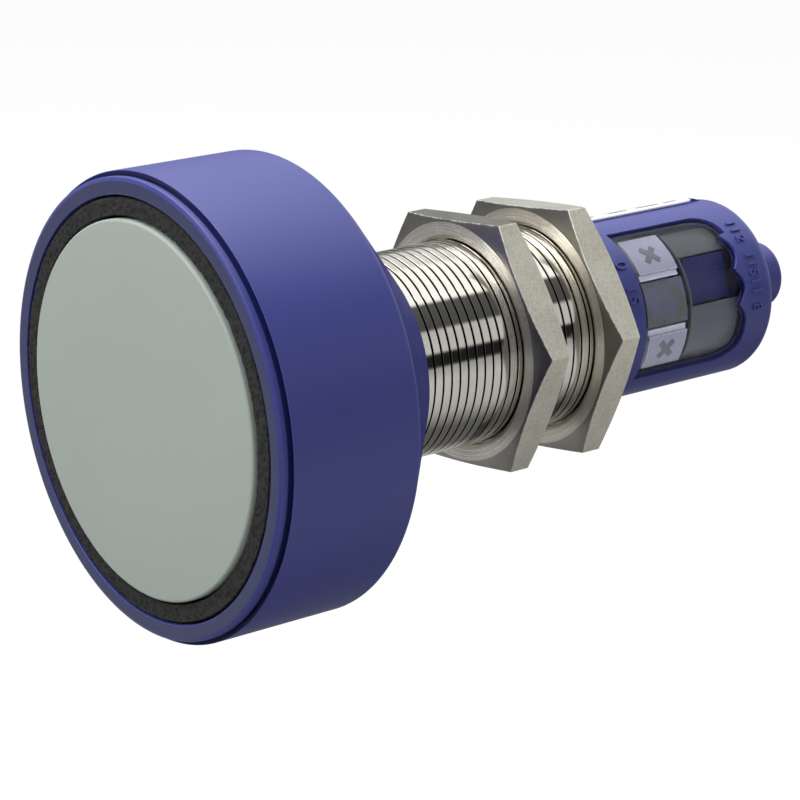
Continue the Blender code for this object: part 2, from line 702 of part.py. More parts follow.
def build_light_guide(materials, frame):
    """The recessed field between the keys, with two legs that stand over the lamps."""
    top = KEY_OUTER - GUIDE_DROP
    gap_angle = math.degrees(SEAT_GAP / top)
    start = KEY_2_ANGLES[0] + KEY_SHELF_ANGLE + gap_angle
    end = KEY_1_ANGLES[0] - KEY_SHELF_ANGLE - gap_angle
    rear = KEY_FRONT_Y + GUIDE_LENGTH
    stations = even_stations(start, end, KEY_FRONT_Y, rear)
    inner = top - GUIDE_THICKNESS
    guide = curved_band("light_guide", stations, inner, top, materials["frosted"], frame)
    middle = top * math.sin(math.radians((start + end) / 2))
    foot = KEY_BOARD_TOP + LED_HEIGHT + 2 * SEAT_GAP
    y = KEY_FRONT_Y + GUIDE_LENGTH / 2
    for side in (-1, 1):
        across = middle + side * GUIDE_LEG_SPREAD
        leg = make_block(
            f"guide_leg_{(side + 3) // 2}",
            (foot, y - GUIDE_LEG / 2, across - GUIDE_LEG / 2),
            (top - GUIDE_THICKNESS / 2, y + GUIDE_LEG / 2, across + GUIDE_LEG / 2),
            None,
            frame,
        )
        cut(guide, leg, "UNION")
    return middle, y


def build_display(materials, frame):
    """The dark display and the translucent plate that surrounds it."""
    rear = SURROUND_FRONT_Y + SURROUND_LENGTH
    low = DISPLAY_MIDDLE - DISPLAY_WIDTH / 2
    high = DISPLAY_MIDDLE + DISPLAY_WIDTH / 2
    board_top = KEY_BOARD_TOP + SEAT_GAP
    margin = 2 * SEAT_GAP
    make_block(
        "status_display",
        (board_top, SURROUND_FRONT_Y + margin, low),
        (DISPLAY_LEVEL, rear - margin, high),
        materials["dark"],
        frame,
    )
    inner = SURROUND_OUTER - SURROUND_THICKNESS
    stations = even_stations(-SURROUND_ANGLE, SURROUND_ANGLE, SURROUND_FRONT_Y, rear)
    plate = curved_band(
        "display_surround", stations, inner, SURROUND_OUTER, materials["frosted"], frame
    )
    hole = make_block(
        "display_hole",
        (board_top, SURROUND_FRONT_Y + SEAT_GAP, low - SEAT_GAP),
        (REAR_RADIUS, rear - SEAT_GAP, high + SEAT_GAP),
        None,
        frame,
    )
    cut(plate, hole)


def build_boards(materials, frame):
    """Main board, key board and the header between them."""
    bottom = MAIN_BOARD_TOP - MAIN_BOARD_THICKNESS
    half = math.sqrt((SPIGOT_BORE - SEAT_GAP) ** 2 - bottom**2)
    make_block(
        "main_board",
        (bottom, MAIN_BOARD_FRONT_Y, -half),
        (MAIN_BOARD_TOP, MAIN_BOARD_REAR_Y, half),
        materials["board"],
        frame,
    )
    key_board_rear = KEY_BOARD_FRONT_Y + KEY_BOARD_LENGTH
    key_half = math.sqrt((KEY_INNER - KEY_BOARD_MARGIN) ** 2 - KEY_BOARD_TOP**2)
    make_block(
        "key_board",
        (KEY_BOARD_LEVEL, KEY_BOARD_FRONT_Y, -key_half),
        (KEY_BOARD_TOP, key_board_rear, key_half),
        materials["board"],
        frame,
    )
    link_rear = key_board_rear - LINK_LENGTH
    make_block(
        "board_link",
        (MAIN_BOARD_TOP + SEAT_GAP, link_rear - LINK_LENGTH, -LINK_WIDTH / 2),
        (KEY_BOARD_LEVEL - SEAT_GAP, link_rear, LINK_WIDTH / 2),
        materials["component"],
        frame,
    )


def build_key_board_parts(materials, frame, lamps):
    """Two tactile switches under the keys and two lamps under the light guide."""
    base = KEY_BOARD_TOP + SEAT_GAP
    y = KEY_FRONT_Y + KEY_LENGTH / 2
    for number, side in ((1, 1), (2, -1)):
        z = side * KEY_STEM_SPREAD
        switch = make_block(
            f"key_switch_{number}",
            (base, y - SWITCH_WIDTH / 2, z - SWITCH_WIDTH / 2),
            (base + SWITCH_HEIGHT, y + SWITCH_WIDTH / 2, z + SWITCH_WIDTH / 2),
            materials["component"],
            frame,
        )
        plunger = make_post(
            f"plunger_{number}",
            (y, z),
            base + SWITCH_HEIGHT / 2,
            base + SWITCH_HEIGHT + PLUNGER_HEIGHT,
            PLUNGER_RADIUS,
            PIN_SEGMENTS,
            frame,
        )
        cut(switch, plunger, "UNION")
    middle, lamp_y = lamps
    for number, side in ((1, 1), (2, -1)):
        z = middle + side * GUIDE_LEG_SPREAD
        make_block(
            f"indicator_led_{number}",
            (base, lamp_y - LED_LENGTH / 2, z - LED_WIDTH / 2),
            (base + LED_HEIGHT, lamp_y + LED_LENGTH / 2, z + LED_WIDTH / 2),
            materials["frosted"],
            frame,
        )


def build_transformer(materials, frame, y):
    """A bobbin on the main board: two flanges and the winding between them."""
    base = MAIN_BOARD_TOP + SEAT_GAP
    neck = TRANSFORMER_RADIUS - TRANSFORMER_NECK
    flange = TRANSFORMER_HEIGHT / 5
    outline = [
        (0.0, 0.0),
        (TRANSFORMER_RADIUS, 0.0),
        (TRANSFORMER_RADIUS, flange),
        (neck, flange),
        (neck, TRANSFORMER_HEIGHT - flange),
        (TRANSFORMER_RADIUS, TRANSFORMER_HEIGHT - flange),
        (TRANSFORMER_RADIUS, TRANSFORMER_HEIGHT),
        (0.0, TRANSFORMER_HEIGHT),
    ]
    bobbin = turn("transformer", outline, SMALL_SEGMENTS, materials["component"], frame)
    bobbin.rotation_euler = (0, 0, -math.pi / 2)
    bobbin.location = (base, y, 0)


def build_main_board_parts(materials, frame):
    """Transformer, capacitors, chips and temperature sensor on the main board."""
    base = MAIN_BOARD_TOP + SEAT_GAP
    under = MAIN_BOARD_TOP - MAIN_BOARD_THICKNESS - SEAT_GAP
    transformer_y = MAIN_BOARD_FRONT_Y + PARTS_INSET + TRANSFORMER_RADIUS
    build_transformer(materials, frame, transformer_y)
    y = transformer_y + TRANSFORMER_RADIUS
    for number in (1, 2):
        y += 2 * CAPACITOR_RADIUS + SEAT_GAP
        make_post(
            f"capacitor_{number}",
            (y - CAPACITOR_RADIUS, 0),
            base,
            base + CAPACITOR_HEIGHT,
            CAPACITOR_RADIUS,
            SMALL_SEGMENTS,
            frame,
            materials["component"],
        )
    chip_front = y + CAPACITOR_RADIUS
    make_block(
        "controller_chip",
        (base, chip_front, -CONTROLLER_WIDTH / 2),
        (base + CHIP_HEIGHT, chip_front + CONTROLLER_WIDTH, CONTROLLER_WIDTH / 2),
        materials["component"],
        frame,
    )
    make_block(
        "driver_chip",
        (under - CHIP_HEIGHT, transformer_y, -DRIVER_WIDTH / 2),
        (under, transformer_y + DRIVER_WIDTH, DRIVER_WIDTH / 2),
        materials["component"],
        frame,
    )
    make_block(
        "temperature_sensor",
        (under - CHIP_HEIGHT, MAIN_BOARD_FRONT_Y + SENSOR_WIDTH, -SENSOR_WIDTH / 2),
        (under, MAIN_BOARD_FRONT_Y + 2 * SENSOR_WIDTH, SENSOR_WIDTH / 2),
        materials["component"],
        frame,
    )


def pin_places():
    """The five contact places: four on a circle and one in the middle."""
    places = []
    for index in range(4):
        angle = math.radians(PIN_TURN + 90 * index)
        places.append((PIN_CIRCLE * math.cos(angle), PIN_CIRCLE * math.sin(angle)))
    places.append((0.0, 0.0))
    return places


def make_pin(name, place, low, high, radius, material, frame):
    """A round pin along the sensor's axis."""
    outline = [(0.0, low), (radius, low), (radius, high), (0.0, high)]
    pin = turn(name, outline, PIN_SEGMENTS, material, frame)
    pin.location = (place[0], 0, place[1])
    return pin


def build_contacts(materials, frame):
    """The contact insert in the plug stub and its five pins."""
    radius = STUB_BORE - SEAT_GAP
    flange_end = CAVITY_END_Y - SEAT_GAP
    outline = [
        (0.0, INSERT_REAR_Y),
        (STUB_BORE + INSERT_FLANGE, INSERT_REAR_Y),
        (STUB_BORE + INSERT_FLANGE, flange_end),
        (radius, flange_end),
        (radius, INSERT_FACE_Y),
        (0.0, INSERT_FACE_Y),
    ]
    insert = turn("contact_insert", outline, SMALL_SEGMENTS, materials["component"], frame)
    for number, place in enumerate(pin_places(), start=1):
        pin_end = STUB_END_Y - PIN_SETBACK
        make_pin(
            f"contact_pin_{number}", place, PIN_REAR_Y, pin_end, PIN_RADIUS, materials["gold"], frame
        )
        low = INSERT_REAR_Y - INSERT_FLANGE
        high = INSERT_FACE_Y + INSERT_FLANGE
        hole_radius = PIN_RADIUS + SEAT_GAP
        hole = make_pin(f"pin_hole_{number}", place, low, high, hole_radius, None, frame)
        cut(insert, hole)


def main():
    """Build the whole sensor."""
    clear_scene()
    materials = make_materials()
    frame = make_empty("window_frame")
    frame.rotation_euler = (0, -math.radians(WINDOW_TURN), 0)
    cavity_end = build_head_housing(materials)
    build_bezel(materials)
    wire_start = build_transducer(materials, cavity_end)
    build_wire("transducer_lead_1", 1, wire_start, materials, frame)
    build_wire("transducer_lead_2", -1, wire_start, materials, frame)
    build_sleeve(materials)
    head_seal_y = COLLAR_END_Y - HEAD_SEAL_INSET - SEAT_GAP - HEAD_SEAL_THICKNESS / 2
    build_seal("head_seal", SLEEVE_RADIUS, head_seal_y, HEAD_SEAL_THICKNESS, materials)
    rear_seal_y = SPIGOT_FRONT_Y + REAR_SEAL_INSET + SEAT_GAP + REAR_SEAL_THICKNESS / 2
    rear_seal_inner = SLEEVE_BORE - REAR_SEAL_THICKNESS - 2 * SEAT_GAP
    build_seal("rear_seal", rear_seal_inner, rear_seal_y, REAR_SEAL_THICKNESS, materials)
    build_nut("front_nut", FRONT_NUT_Y, FRONT_NUT_TURN, materials)
    build_nut("rear_nut", REAR_NUT_Y, REAR_NUT_TURN, materials)
    build_rear_housing(materials, frame)
    build_window_cover(materials, frame)
    build_key("key_1", KEY_1_ANGLES, 1, materials, frame)
    build_key("key_2", KEY_2_ANGLES, -1, materials, frame)
    lamps = build_light_guide(materials, frame)
    build_display(materials, frame)
    build_boards(materials, frame)
    build_key_board_parts(materials, frame, lamps)
    build_main_board_parts(materials, frame)
    build_contacts(materials, frame)
    bpy.context.view_layer.update()


main()
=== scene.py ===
"""Looks of an ultrasonic distance sensor: fine meshes, finishes, studio and camera.

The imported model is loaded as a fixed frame, and each fine piece is laid round it. The sensor's
axis is the Y axis, with the sound-emitting face at y = 0 looking towards -Y. Lengths are in
metres. An angle round the axis is in degrees, counted from +X towards +Z.
"""

import logging
import math
from collections.abc import Callable, Iterable, Sequence
from dataclasses import dataclass
from enum import Enum

import bmesh
import bpy
from mathutils import Matrix, Vector, noise


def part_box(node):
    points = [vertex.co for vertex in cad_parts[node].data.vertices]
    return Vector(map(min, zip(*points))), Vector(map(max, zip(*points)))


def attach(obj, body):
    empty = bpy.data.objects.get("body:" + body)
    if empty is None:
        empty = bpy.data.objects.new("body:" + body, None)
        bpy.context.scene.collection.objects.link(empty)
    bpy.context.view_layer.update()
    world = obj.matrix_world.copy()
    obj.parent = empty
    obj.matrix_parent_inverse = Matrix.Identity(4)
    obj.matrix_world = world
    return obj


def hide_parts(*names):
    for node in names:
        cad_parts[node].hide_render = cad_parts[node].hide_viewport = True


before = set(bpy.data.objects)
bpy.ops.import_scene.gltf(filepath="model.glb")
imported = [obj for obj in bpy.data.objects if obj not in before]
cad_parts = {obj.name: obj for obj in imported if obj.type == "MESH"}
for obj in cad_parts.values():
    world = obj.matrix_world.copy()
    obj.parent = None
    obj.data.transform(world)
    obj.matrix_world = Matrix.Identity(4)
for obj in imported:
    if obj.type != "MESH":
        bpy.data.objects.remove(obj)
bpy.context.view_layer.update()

log = logging.getLogger("ultrasonic_sensor")

MM = 0.001
SEAT_GAP = 0.3 * MM
WINDOW_TURN = 17.75
SENSOR_BODY = "sensor_body"

Colour = tuple[float, float, float]
Corner = tuple[float, ...]
Station = tuple[float, float, float]


class NickelSurface(Enum):
    """How a nickel-plated surface was made, which sets its marks; the shaded chamfer and the two
    top-shade kinds are darkened plating, painted shade.
    """

    THREAD = "thread"
    FLAT = "flat"
    TURNED = "turned"
    CHAMFER = "chamfer"
    # Darker copies of the flat plating for each nut's topmost flat: painted shade.
    DULL = "dull"
    SATIN = "satin"


class Side(Enum):
    """The side of the window's middle on which a key lies."""

    UPPER = 1
    LOWER = -1


def on_cylinder(radius: float, angle: float, y: float) -> Vector:
    """The point at a radius and an angle in degrees round the axis."""
    turn = math.radians(angle)
    return Vector((radius * math.cos(turn), y, radius * math.sin(turn)))


def rounded(outline: Sequence[Corner], steps: int = 6) -> list[tuple[float, float]]:
    """Replace each corner that names a radius by an arc.

    Args:
        outline: Closed outline of (r, y) or (r, y, corner radius).
        steps: Number of pieces in each arc.

    Returns:
        The outline as plain (r, y) points.
    """
    points: list[tuple[float, float]] = []
    for index, corner in enumerate(outline):
        if len(corner) == 2:
            points.append((corner[0], corner[1]))
            continue
        middle = Vector(corner[:2])
        arm_in = (Vector(outline[index - 1][:2]) - middle).normalized()
        arm_out = (Vector(outline[(index + 1) % len(outline)][:2]) - middle).normalized()
        half = arm_in.angle(arm_out) / 2
        reach = corner[2] / math.tan(half)
        centre = middle + (arm_in + arm_out).normalized() * corner[2] / math.sin(half)
        start = middle + arm_in * reach - centre
        end = middle + arm_out * reach - centre
        for step in range(steps + 1):
            spoke = start.lerp(end, step / steps).normalized() * corner[2]
            points.append(tuple(centre + spoke))
    return points


def linked(name: str, data: bpy.types.ID | None) -> bpy.types.Object:
    """A new object in the scene that shows some data."""
    obj = bpy.data.objects.new(name, data)
    bpy.context.scene.collection.objects.link(obj)
    return obj


def to_object(
    name: str, bm: bmesh.types.BMesh, material: bpy.types.Material | None, sharp: float = 32.0
) -> bpy.types.Object:
    """Make a scene object from a bmesh, with outward faces.

    Args:
        name: Name of the piece.
        bm: The mesh, which is freed.
        material: Finish of the whole piece, or None for a cutter.
        sharp: Angle in degrees above which an edge stays sharp.

    Returns:
        The linked object.
    """
    bm.normal_update()
    bmesh.ops.recalc_face_normals(bm, faces=bm.faces)
    mesh = bpy.data.meshes.new(name)
    bm.to_mesh(mesh)
    bm.free()
    mesh.shade_smooth()
    mesh.set_sharp_from_angle(angle=math.radians(sharp))
    obj = linked(name, mesh)
    if material is not None:
        mesh.materials.append(material)
    return obj


def bridge(bm: bmesh.types.BMesh, rings: Sequence[Sequence[bmesh.types.BMVert]]) -> None:
    """Join each closed ring of points to the next by four-sided faces."""
    for ring, following in zip(rings, rings[1:]):
        for index, point in enumerate(ring):
            after = (index + 1) % len(ring)
            bm.faces.new((point, ring[after], following[after], following[index]))


def redress(
    obj: bpy.types.Object,
    material: bpy.types.Material,
    chosen: Callable[[bpy.types.MeshPolygon], bool],
) -> None:
    """Give the faces that a test chooses a second finish."""
    obj.data.materials.append(material)
    for polygon in obj.data.polygons:
        polygon.material_index = int(chosen(polygon))


def turned(
    name: str,
    outline: Sequence[Corner],
    segments: int,
    material: bpy.types.Material | None,
    steps: int = 6,
) -> bpy.types.Object:
    """Turn a closed outline of (r, y) corners round the sensor's axis.

    Args:
        name: Name of the piece.
        outline: Closed outline, whose corners may name a radius.
        segments: Number of facets round the axis.
        material: Finish of the piece.
        steps: Number of pieces in each rounded corner.

    Returns:
        The turned object.
    """
    points = rounded(outline, steps)
    bm = bmesh.new()
    rings = []
    for radius, y in points:
        if radius < 1e-9:
            rings.append([bm.verts.new((0.0, y, 0.0))] * segments)
            continue
        angles = (360.0 * step / segments for step in range(segments))
        rings.append([bm.verts.new(on_cylinder(radius, angle, y)) for angle in angles])
    for ring, following in zip(rings, rings[1:] + rings[:1]):
        if ring[0] is ring[1] and following[0] is following[1]:
            continue
        for index in range(segments):
            after = (index + 1) % segments
            corners = [ring[index], ring[after], following[after], following[index]]
            bm.faces.new(list(dict.fromkeys(corners)))
    return to_object(name, bm, material)


def tile(
    name: str,
    stations: Sequence[Station],
    inner: float,
    outer: float,
    material: bpy.types.Material | None,
    turn: float = WINDOW_TURN,
    slope: float = 0.0,
) -> bpy.types.Object:
    """Loft a closed curved tile between two radii.

    Args:
        name: Name of the piece.
        stations: Angle, front y and rear y at each station.
        inner: Inner radius.
        outer: Outer radius.
        material: Finish of the piece.
        turn: Angle that is added to every station.
        slope: How far the rear end leans forward on its way out.

    Returns:
        The tile.
    """
    bm = bmesh.new()
    rings = []
    for angle, front, rear in stations:
        corners = ((inner, front), (inner, rear), (outer, rear - slope), (outer, front))
        rings.append([bm.verts.new(on_cylinder(r, angle + turn, y)) for r, y in corners])
    bridge(bm, rings)
    bm.faces.new(rings[0])
    bm.faces.new(rings[-1])
    return to_object(name, bm, material)


def even_stations(start: float, end: float, front: float, rear: float) -> list[Station]:
    """Stations of a plain tile, one each degree or so."""
    low, high = min(start, end), max(start, end)
    count = max(2, round(high - low))
    return [(low + (high - low) * i / count, front, rear) for i in range(count + 1)]


def block(
    name: str, low: Corner, high: Corner, material: bpy.types.Material | None
) -> bpy.types.Object:
    """A block in the window's frame, with local X outwards and local Z up its face."""
    bm = bmesh.new()
    bmesh.ops.create_cube(bm, size=1.0)
    turn = Matrix.Rotation(-math.radians(WINDOW_TURN), 4, "Y")
    for vert in bm.verts:
        place = [low[axis] if vert.co[axis] < 0 else high[axis] for axis in range(3)]
        vert.co = turn @ Vector(place)
    return to_object(name, bm, material)


def settle(obj: bpy.types.Object) -> None:
    """Apply all modifiers of an object to its mesh."""
    bpy.context.view_layer.update()
    evaluated = obj.evaluated_get(bpy.context.evaluated_depsgraph_get())
    mesh = bpy.data.meshes.new_from_object(evaluated)
    obj.modifiers.clear()
    obj.data = mesh


def combine(target: bpy.types.Object, tool: bpy.types.Object, operation: str) -> None:
    """Combine a target with a tool by an exact Boolean, and remove the tool."""
    modifier = target.modifiers.new(operation.lower(), "BOOLEAN")
    modifier.operation = operation
    modifier.solver = "EXACT"
    modifier.object = tool
    settle(target)
    bpy.data.objects.remove(tool, do_unlink=True)


def soften(obj: bpy.types.Object, width: float, segments: int = 2, angle: float = 40.0) -> None:
    """Round the sharp edges of an object by a small bevel."""
    modifier = obj.modifiers.new("soft_edges", "BEVEL")
    modifier.width = width
    modifier.segments = segments
    modifier.limit_method = "ANGLE"
    modifier.angle_limit = math.radians(angle)
    settle(obj)
    obj.data.shade_smooth()
    obj.data.set_sharp_from_angle(angle=math.radians(angle))
    weights = obj.modifiers.new("even_normals", "WEIGHTED_NORMAL")
    weights.keep_sharp = True
    weights.weight = 100
    settle(obj)


def seat(
    obj: bpy.types.Object, body: str, replaced: Iterable[str] = ()
) -> bpy.types.Object:
    """Let a piece ride on its body and what it replaces, and report it.

    Args:
        obj: The finished piece.
        body: The moving body that carries it.
        replaced: The plain solids that it stands for.

    Returns:
        The same piece.
    """
    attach(obj, body)
    names = list(replaced)
    if names:
        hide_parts(*names)
    log.info("%s rides on %s, replaces %s, %d faces", obj.name, body, names, len(obj.data.polygons))
    return obj


class Wiring:
    """Adds and joins nodes in one node tree."""

    def __init__(self, tree: bpy.types.NodeTree) -> None:
        """Keep the tree and forget its default nodes."""
        self.tree = tree

    def add(self, kind: str, **inputs: object) -> bpy.types.Node:
        """Add a node and set or join its inputs.

        Args:
            kind: Node type without its ShaderNode prefix.
            **inputs: Input values or sockets, with _ for a space. A name that starts with
                "set_" is a property of the node itself.

        Returns:
            The new node.
        """
        node = self.tree.nodes.new(f"ShaderNode{kind}")
        for name, value in inputs.items():
            if name.startswith("set_"):
                setattr(node, name[4:], value)
        sockets = {name: value for name, value in inputs.items() if not name.startswith("set_")}
        self.put(node, **sockets)
        return node

    def put(self, node: bpy.types.Node, **inputs: object) -> None:
        """Set or join a node's inputs by their names, with _ for a space."""
        for name, value in inputs.items():
            self.feed(node.inputs[name.replace("_", " ")], value)

    def feed(self, target: bpy.types.NodeSocket, value: object) -> None:
        """Join a socket to a target socket, or set the target's value."""
        if isinstance(value, bpy.types.NodeSocket):
            self.tree.links.new(value, target)
        elif isinstance(value, tuple) and len(value) == 3 and target.type == "RGBA":
            target.default_value = (*value, 1.0)
        else:
            target.default_value = value

    def fill(self, node: bpy.types.Node, *values: object) -> bpy.types.NodeSocket:
        """Feed a node's first inputs in order, and return its first output."""
        for socket, value in zip(node.inputs, values):
            self.feed(socket, value)
        return node.outputs[0]

    def math(self, operation: str, *operands: object) -> bpy.types.NodeSocket:
        """The result of a Math node on up to three values or sockets."""
        return self.fill(self.add("Math", set_operation=operation), *operands)

    def place(self) -> bpy.types.NodeSocket:
        """The shaded point in its object's own frame."""
        return self.add("TexCoord").outputs["Object"]

    def blend(self, share: object, first: object, second: object) -> bpy.types.NodeSocket:
        """Mix two colours by a share."""
        node = self.add("Mix", set_data_type="RGBA")
        self.feed(node.inputs[0], share)
        self.feed(node.inputs[6], first)
        self.feed(node.inputs[7], second)
        return node.outputs[2]

    def ramp(self, value: object, stops: Sequence[tuple[float, float]]) -> bpy.types.NodeSocket:
        """A grey ramp through (place, level) stops."""
        node = self.add("ValToRGB")
        self.feed(node.inputs[0], value)
        elements = node.color_ramp.elements
        while len(elements) < len(stops):
            elements.new(0.5)
        for element, (place, level) in zip(elements, stops):
            element.position = place
            element.color = (level, level, level, 1.0)
        return node.outputs[0]


class Effects:
    """Node groups for effects that several finishes share, each built once."""

    def __init__(self) -> None:
        """Start with no group built."""
        self.built: dict[str, bpy.types.NodeTree] = {}

    def group(
        self,
        name: str,
        inputs: dict[str, float | Colour],
        outputs: dict[str, str],
        wire: Callable[[Wiring, dict[str, bpy.types.NodeSocket]], dict[str, bpy.types.NodeSocket]],
    ) -> bpy.types.NodeTree:
        """Build a group the first time it is asked for.

        Args:
            name: Name of the group.
            inputs: Named inputs with their default values.
            outputs: Named outputs with their socket types.
            wire: Function that wires the inside and returns the named results.

        Returns:
            The node group.
        """
        if name in self.built:
            return self.built[name]
        tree = bpy.data.node_groups.new(name, "ShaderNodeTree")
        for label, default in inputs.items():
            kind = "NodeSocketColor" if isinstance(default, tuple) else "NodeSocketFloat"
            item = tree.interface.new_socket(label, in_out="INPUT", socket_type=kind)
            item.default_value = (*default, 1.0) if isinstance(default, tuple) else default
        for label, kind in outputs.items():
            tree.interface.new_socket(label, in_out="OUTPUT", socket_type=kind)
        source = tree.nodes.new("NodeGroupInput")
        sink = tree.nodes.new("NodeGroupOutput")
        results = wire(Wiring(tree), {label: source.outputs[label] for label in inputs})
        for label, socket in results.items():
            tree.links.new(socket, sink.inputs[label])
        self.built[name] = tree
        return tree

    def grain(self) -> bpy.types.NodeTree:
        """Fine even grain and faint large mottling of a moulded or painted surface."""

        def wire(w: Wiring, given: dict) -> dict:
            """Wire the fine grain, the mottling and the bump."""
            place = w.place()
            fine = w.add("TexNoise", Vector=place, Scale=given["Scale"], Detail=3.0, Roughness=0.6)
            broad = w.add("TexNoise", Vector=place, Scale=given["Broad Scale"], Detail=2.0)
            spread = w.math("SUBTRACT", broad.outputs["Fac"], 0.5)
            lift = w.math("MULTIPLY", spread, given["Mottle"])
            shade = w.add("HueSaturation", Color=given["Color"], Value=w.math("ADD", lift, 1.0))
            bump = w.add("Bump", Height=fine.outputs["Fac"], Distance=given["Depth"])
            rough = w.math("ADD", given["Roughness"], w.math("MULTIPLY", spread, given["Gloss"]))
            return {
                "Color": shade.outputs["Color"],
                "Roughness": rough,
                "Normal": bump.outputs["Normal"],
                "Fine": fine.outputs["Fac"],
                "Broad": broad.outputs["Fac"],
            }

        return self.group(
            "surface_grain",
            {
                "Color": (0.5, 0.5, 0.5),
                "Scale": 3000.0,
                "Broad Scale": 60.0,
                "Mottle": 0.1,
                "Depth": 1e-5,
                "Roughness": 0.5,
                "Gloss": 0.1,
            },
            {
                "Color": "NodeSocketColor",
                "Roughness": "NodeSocketFloat",
                "Normal": "NodeSocketVector",
                "Fine": "NodeSocketFloat",
                "Broad": "NodeSocketFloat",
            },
            wire,
        )

    def edge_mask(self) -> bpy.types.NodeTree:
        """A mask that is 1 on outer edges, for pale colour that is partly wear and partly painted
        highlight, broken up by a fine noise.
        """

        def wire(w: Wiring, given: dict) -> dict:
            """Wire the softened normal against the true one, times a spotty noise."""
            place = w.place()
            soft = w.add("Bevel", set_samples=6, Radius=given["Width"])
            true = w.add("NewGeometry").outputs["Normal"]
            dot = w.add("VectorMath", set_operation="DOT_PRODUCT")
            w.fill(dot, soft.outputs["Normal"], true)
            turned_away = w.math("SUBTRACT", 1.0, dot.outputs["Value"])
            glint_and_chip_spots = w.add("TexNoise", Vector=place, Scale=given["Spot Scale"], Detail=4.0)
            broken = w.ramp(glint_and_chip_spots.outputs["Fac"], ((0.46, 0.0), (0.52, 1.0)))
            mask = w.add("MapRange", Value=turned_away, From_Min=0.006, From_Max=0.04)
            return {"Mask": w.math("MULTIPLY", mask.outputs["Result"], broken)}

        return self.group(
            "edge_glint_and_wear",
            {"Width": 0.00032, "Spot Scale": 2000.0},
            {"Mask": "NodeSocketFloat"},
            wire,
        )

    def rings(self) -> bpy.types.NodeTree:
        """Fine tool marks round the sensor's axis, spaced along the radius or the axis."""

        def wire(w: Wiring, given: dict) -> dict:
            """Wire one-dimensional noise along the radius or the axis."""
            place = w.place()
            parts = w.add("SeparateXYZ", Vector=place)
            squares = [w.math("MULTIPLY", parts.outputs[i], parts.outputs[i]) for i in (0, 2)]
            radius = w.math("SQRT", w.math("ADD", squares[0], squares[1]))
            across = w.math("MULTIPLY", radius, given["Marks"])
            along = w.math("MULTIPLY", parts.outputs["Y"], given["Axial Marks"])
            marks = w.add(
                "TexNoise", set_noise_dimensions="1D", W=w.math("ADD", across, along), Scale=1.0,
                Detail=4.0, Roughness=0.7,
            )
            level = marks.outputs["Fac"]
            bump = w.add("Bump", Height=level, Distance=given["Depth"])
            return {"Fac": level, "Normal": bump.outputs["Normal"], "Radius": radius}

        return self.group(
            "tool_marks",
            {"Marks": 9000.0, "Axial Marks": 0.0, "Depth": 4e-6},
            {"Fac": "NodeSocketFloat", "Normal": "NodeSocketVector", "Radius": "NodeSocketFloat"},
            wire,
        )


EFFECTS = Effects()


def start_material(name: str, **constants: object) -> tuple[Wiring, bpy.types.Node, bpy.types.Material]:
    """A new material with a Principled shader.

    Args:
        name: Name of the material.
        **constants: Plain values of the shader's own sockets, with _ for a space.

    Returns:
        The wiring, the shader node and the material.
    """
    material = bpy.data.materials.new(name)
    material.use_nodes = True
    wiring = Wiring(material.node_tree)
    shader = material.node_tree.nodes["Principled BSDF"]
    wiring.put(shader, **constants)
    return wiring, shader, material


@dataclass(frozen=True)
class GrainedFinish:
    """A moulded, painted or pressed surface with fine grain and faint mottling."""

    name: str
    colour: Colour
    roughness: float
    scale: float = 2600.0
    depth: float = 6e-6
    mottle: float = 0.10
    broad_scale: float = 70.0
    gloss: float = 0.12
    metallic: float = 0.0
    specular: float = 0.5
    wear_and_glint: float = 0.0
    wear_and_glint_colour: Colour = (0.3, 0.3, 0.5)
    blotch: Colour | None = None
    sheen: float = 0.0

    def build(self) -> bpy.types.Material:
        """Build the finish, with blotches and pale edges where it has any; the edges are partly wear and
        partly painted highlight.
        """
        w, shader, material = start_material(
            self.name,
            Metallic=self.metallic,
            Specular_IOR_Level=self.specular,
            Sheen_Weight=self.sheen,
        )
        grain = w.add(
            "Group", set_node_tree=EFFECTS.grain(), Color=self.colour, Scale=self.scale,
            Broad_Scale=self.broad_scale, Mottle=self.mottle, Depth=self.depth,
            Roughness=self.roughness, Gloss=self.gloss,
        )
        colour = grain.outputs["Color"]
        if self.blotch is not None:
            spots = w.ramp(grain.outputs["Broad"], ((0.42, 0.0), (0.58, 1.0)))
            colour = w.blend(spots, colour, self.blotch)
        # Pale outer edges: partly wear, partly a painted highlight.
        if self.wear_and_glint:
            edges = w.add("Group", set_node_tree=EFFECTS.edge_mask())
            share = w.math("MULTIPLY", edges.outputs["Mask"], self.wear_and_glint)
            colour = w.blend(share, colour, self.wear_and_glint_colour)
        finish, normal = grain.outputs["Roughness"], grain.outputs["Normal"]
        w.put(shader, Base_Color=colour, Roughness=finish, Normal=normal)
        return material


@dataclass(frozen=True)
class FoamFinish:
    """Open-celled black foam with small dark pores and pale cell walls."""

    name: str
    colour: Colour
    pore_colour: Colour
    cell_scale: float = 1500.0
    depth: float = 9e-5

    def build(self) -> bpy.types.Material:
        """Build the finish."""
        w, shader, material = start_material(self.name, Specular_IOR_Level=0.25, Roughness=0.95)
        place = w.place()
        cells = w.add("TexVoronoi", Vector=place, Scale=self.cell_scale)
        fluff = w.add("TexNoise", Vector=place, Scale=self.cell_scale * 0.6, Detail=5.0)
        pores = w.ramp(cells.outputs["Distance"], ((0.15, 0.0), (0.5, 1.0)))
        share = w.math("MULTIPLY", pores, w.math("ADD", fluff.outputs["Fac"], 0.3))
        colour = w.blend(share, self.pore_colour, self.colour)
        height = w.math("ADD", pores, fluff.outputs["Fac"])
        bump = w.add("Bump", Height=height, Distance=self.depth)
        w.put(shader, Base_Color=colour, Normal=bump.outputs["Normal"])
        return material


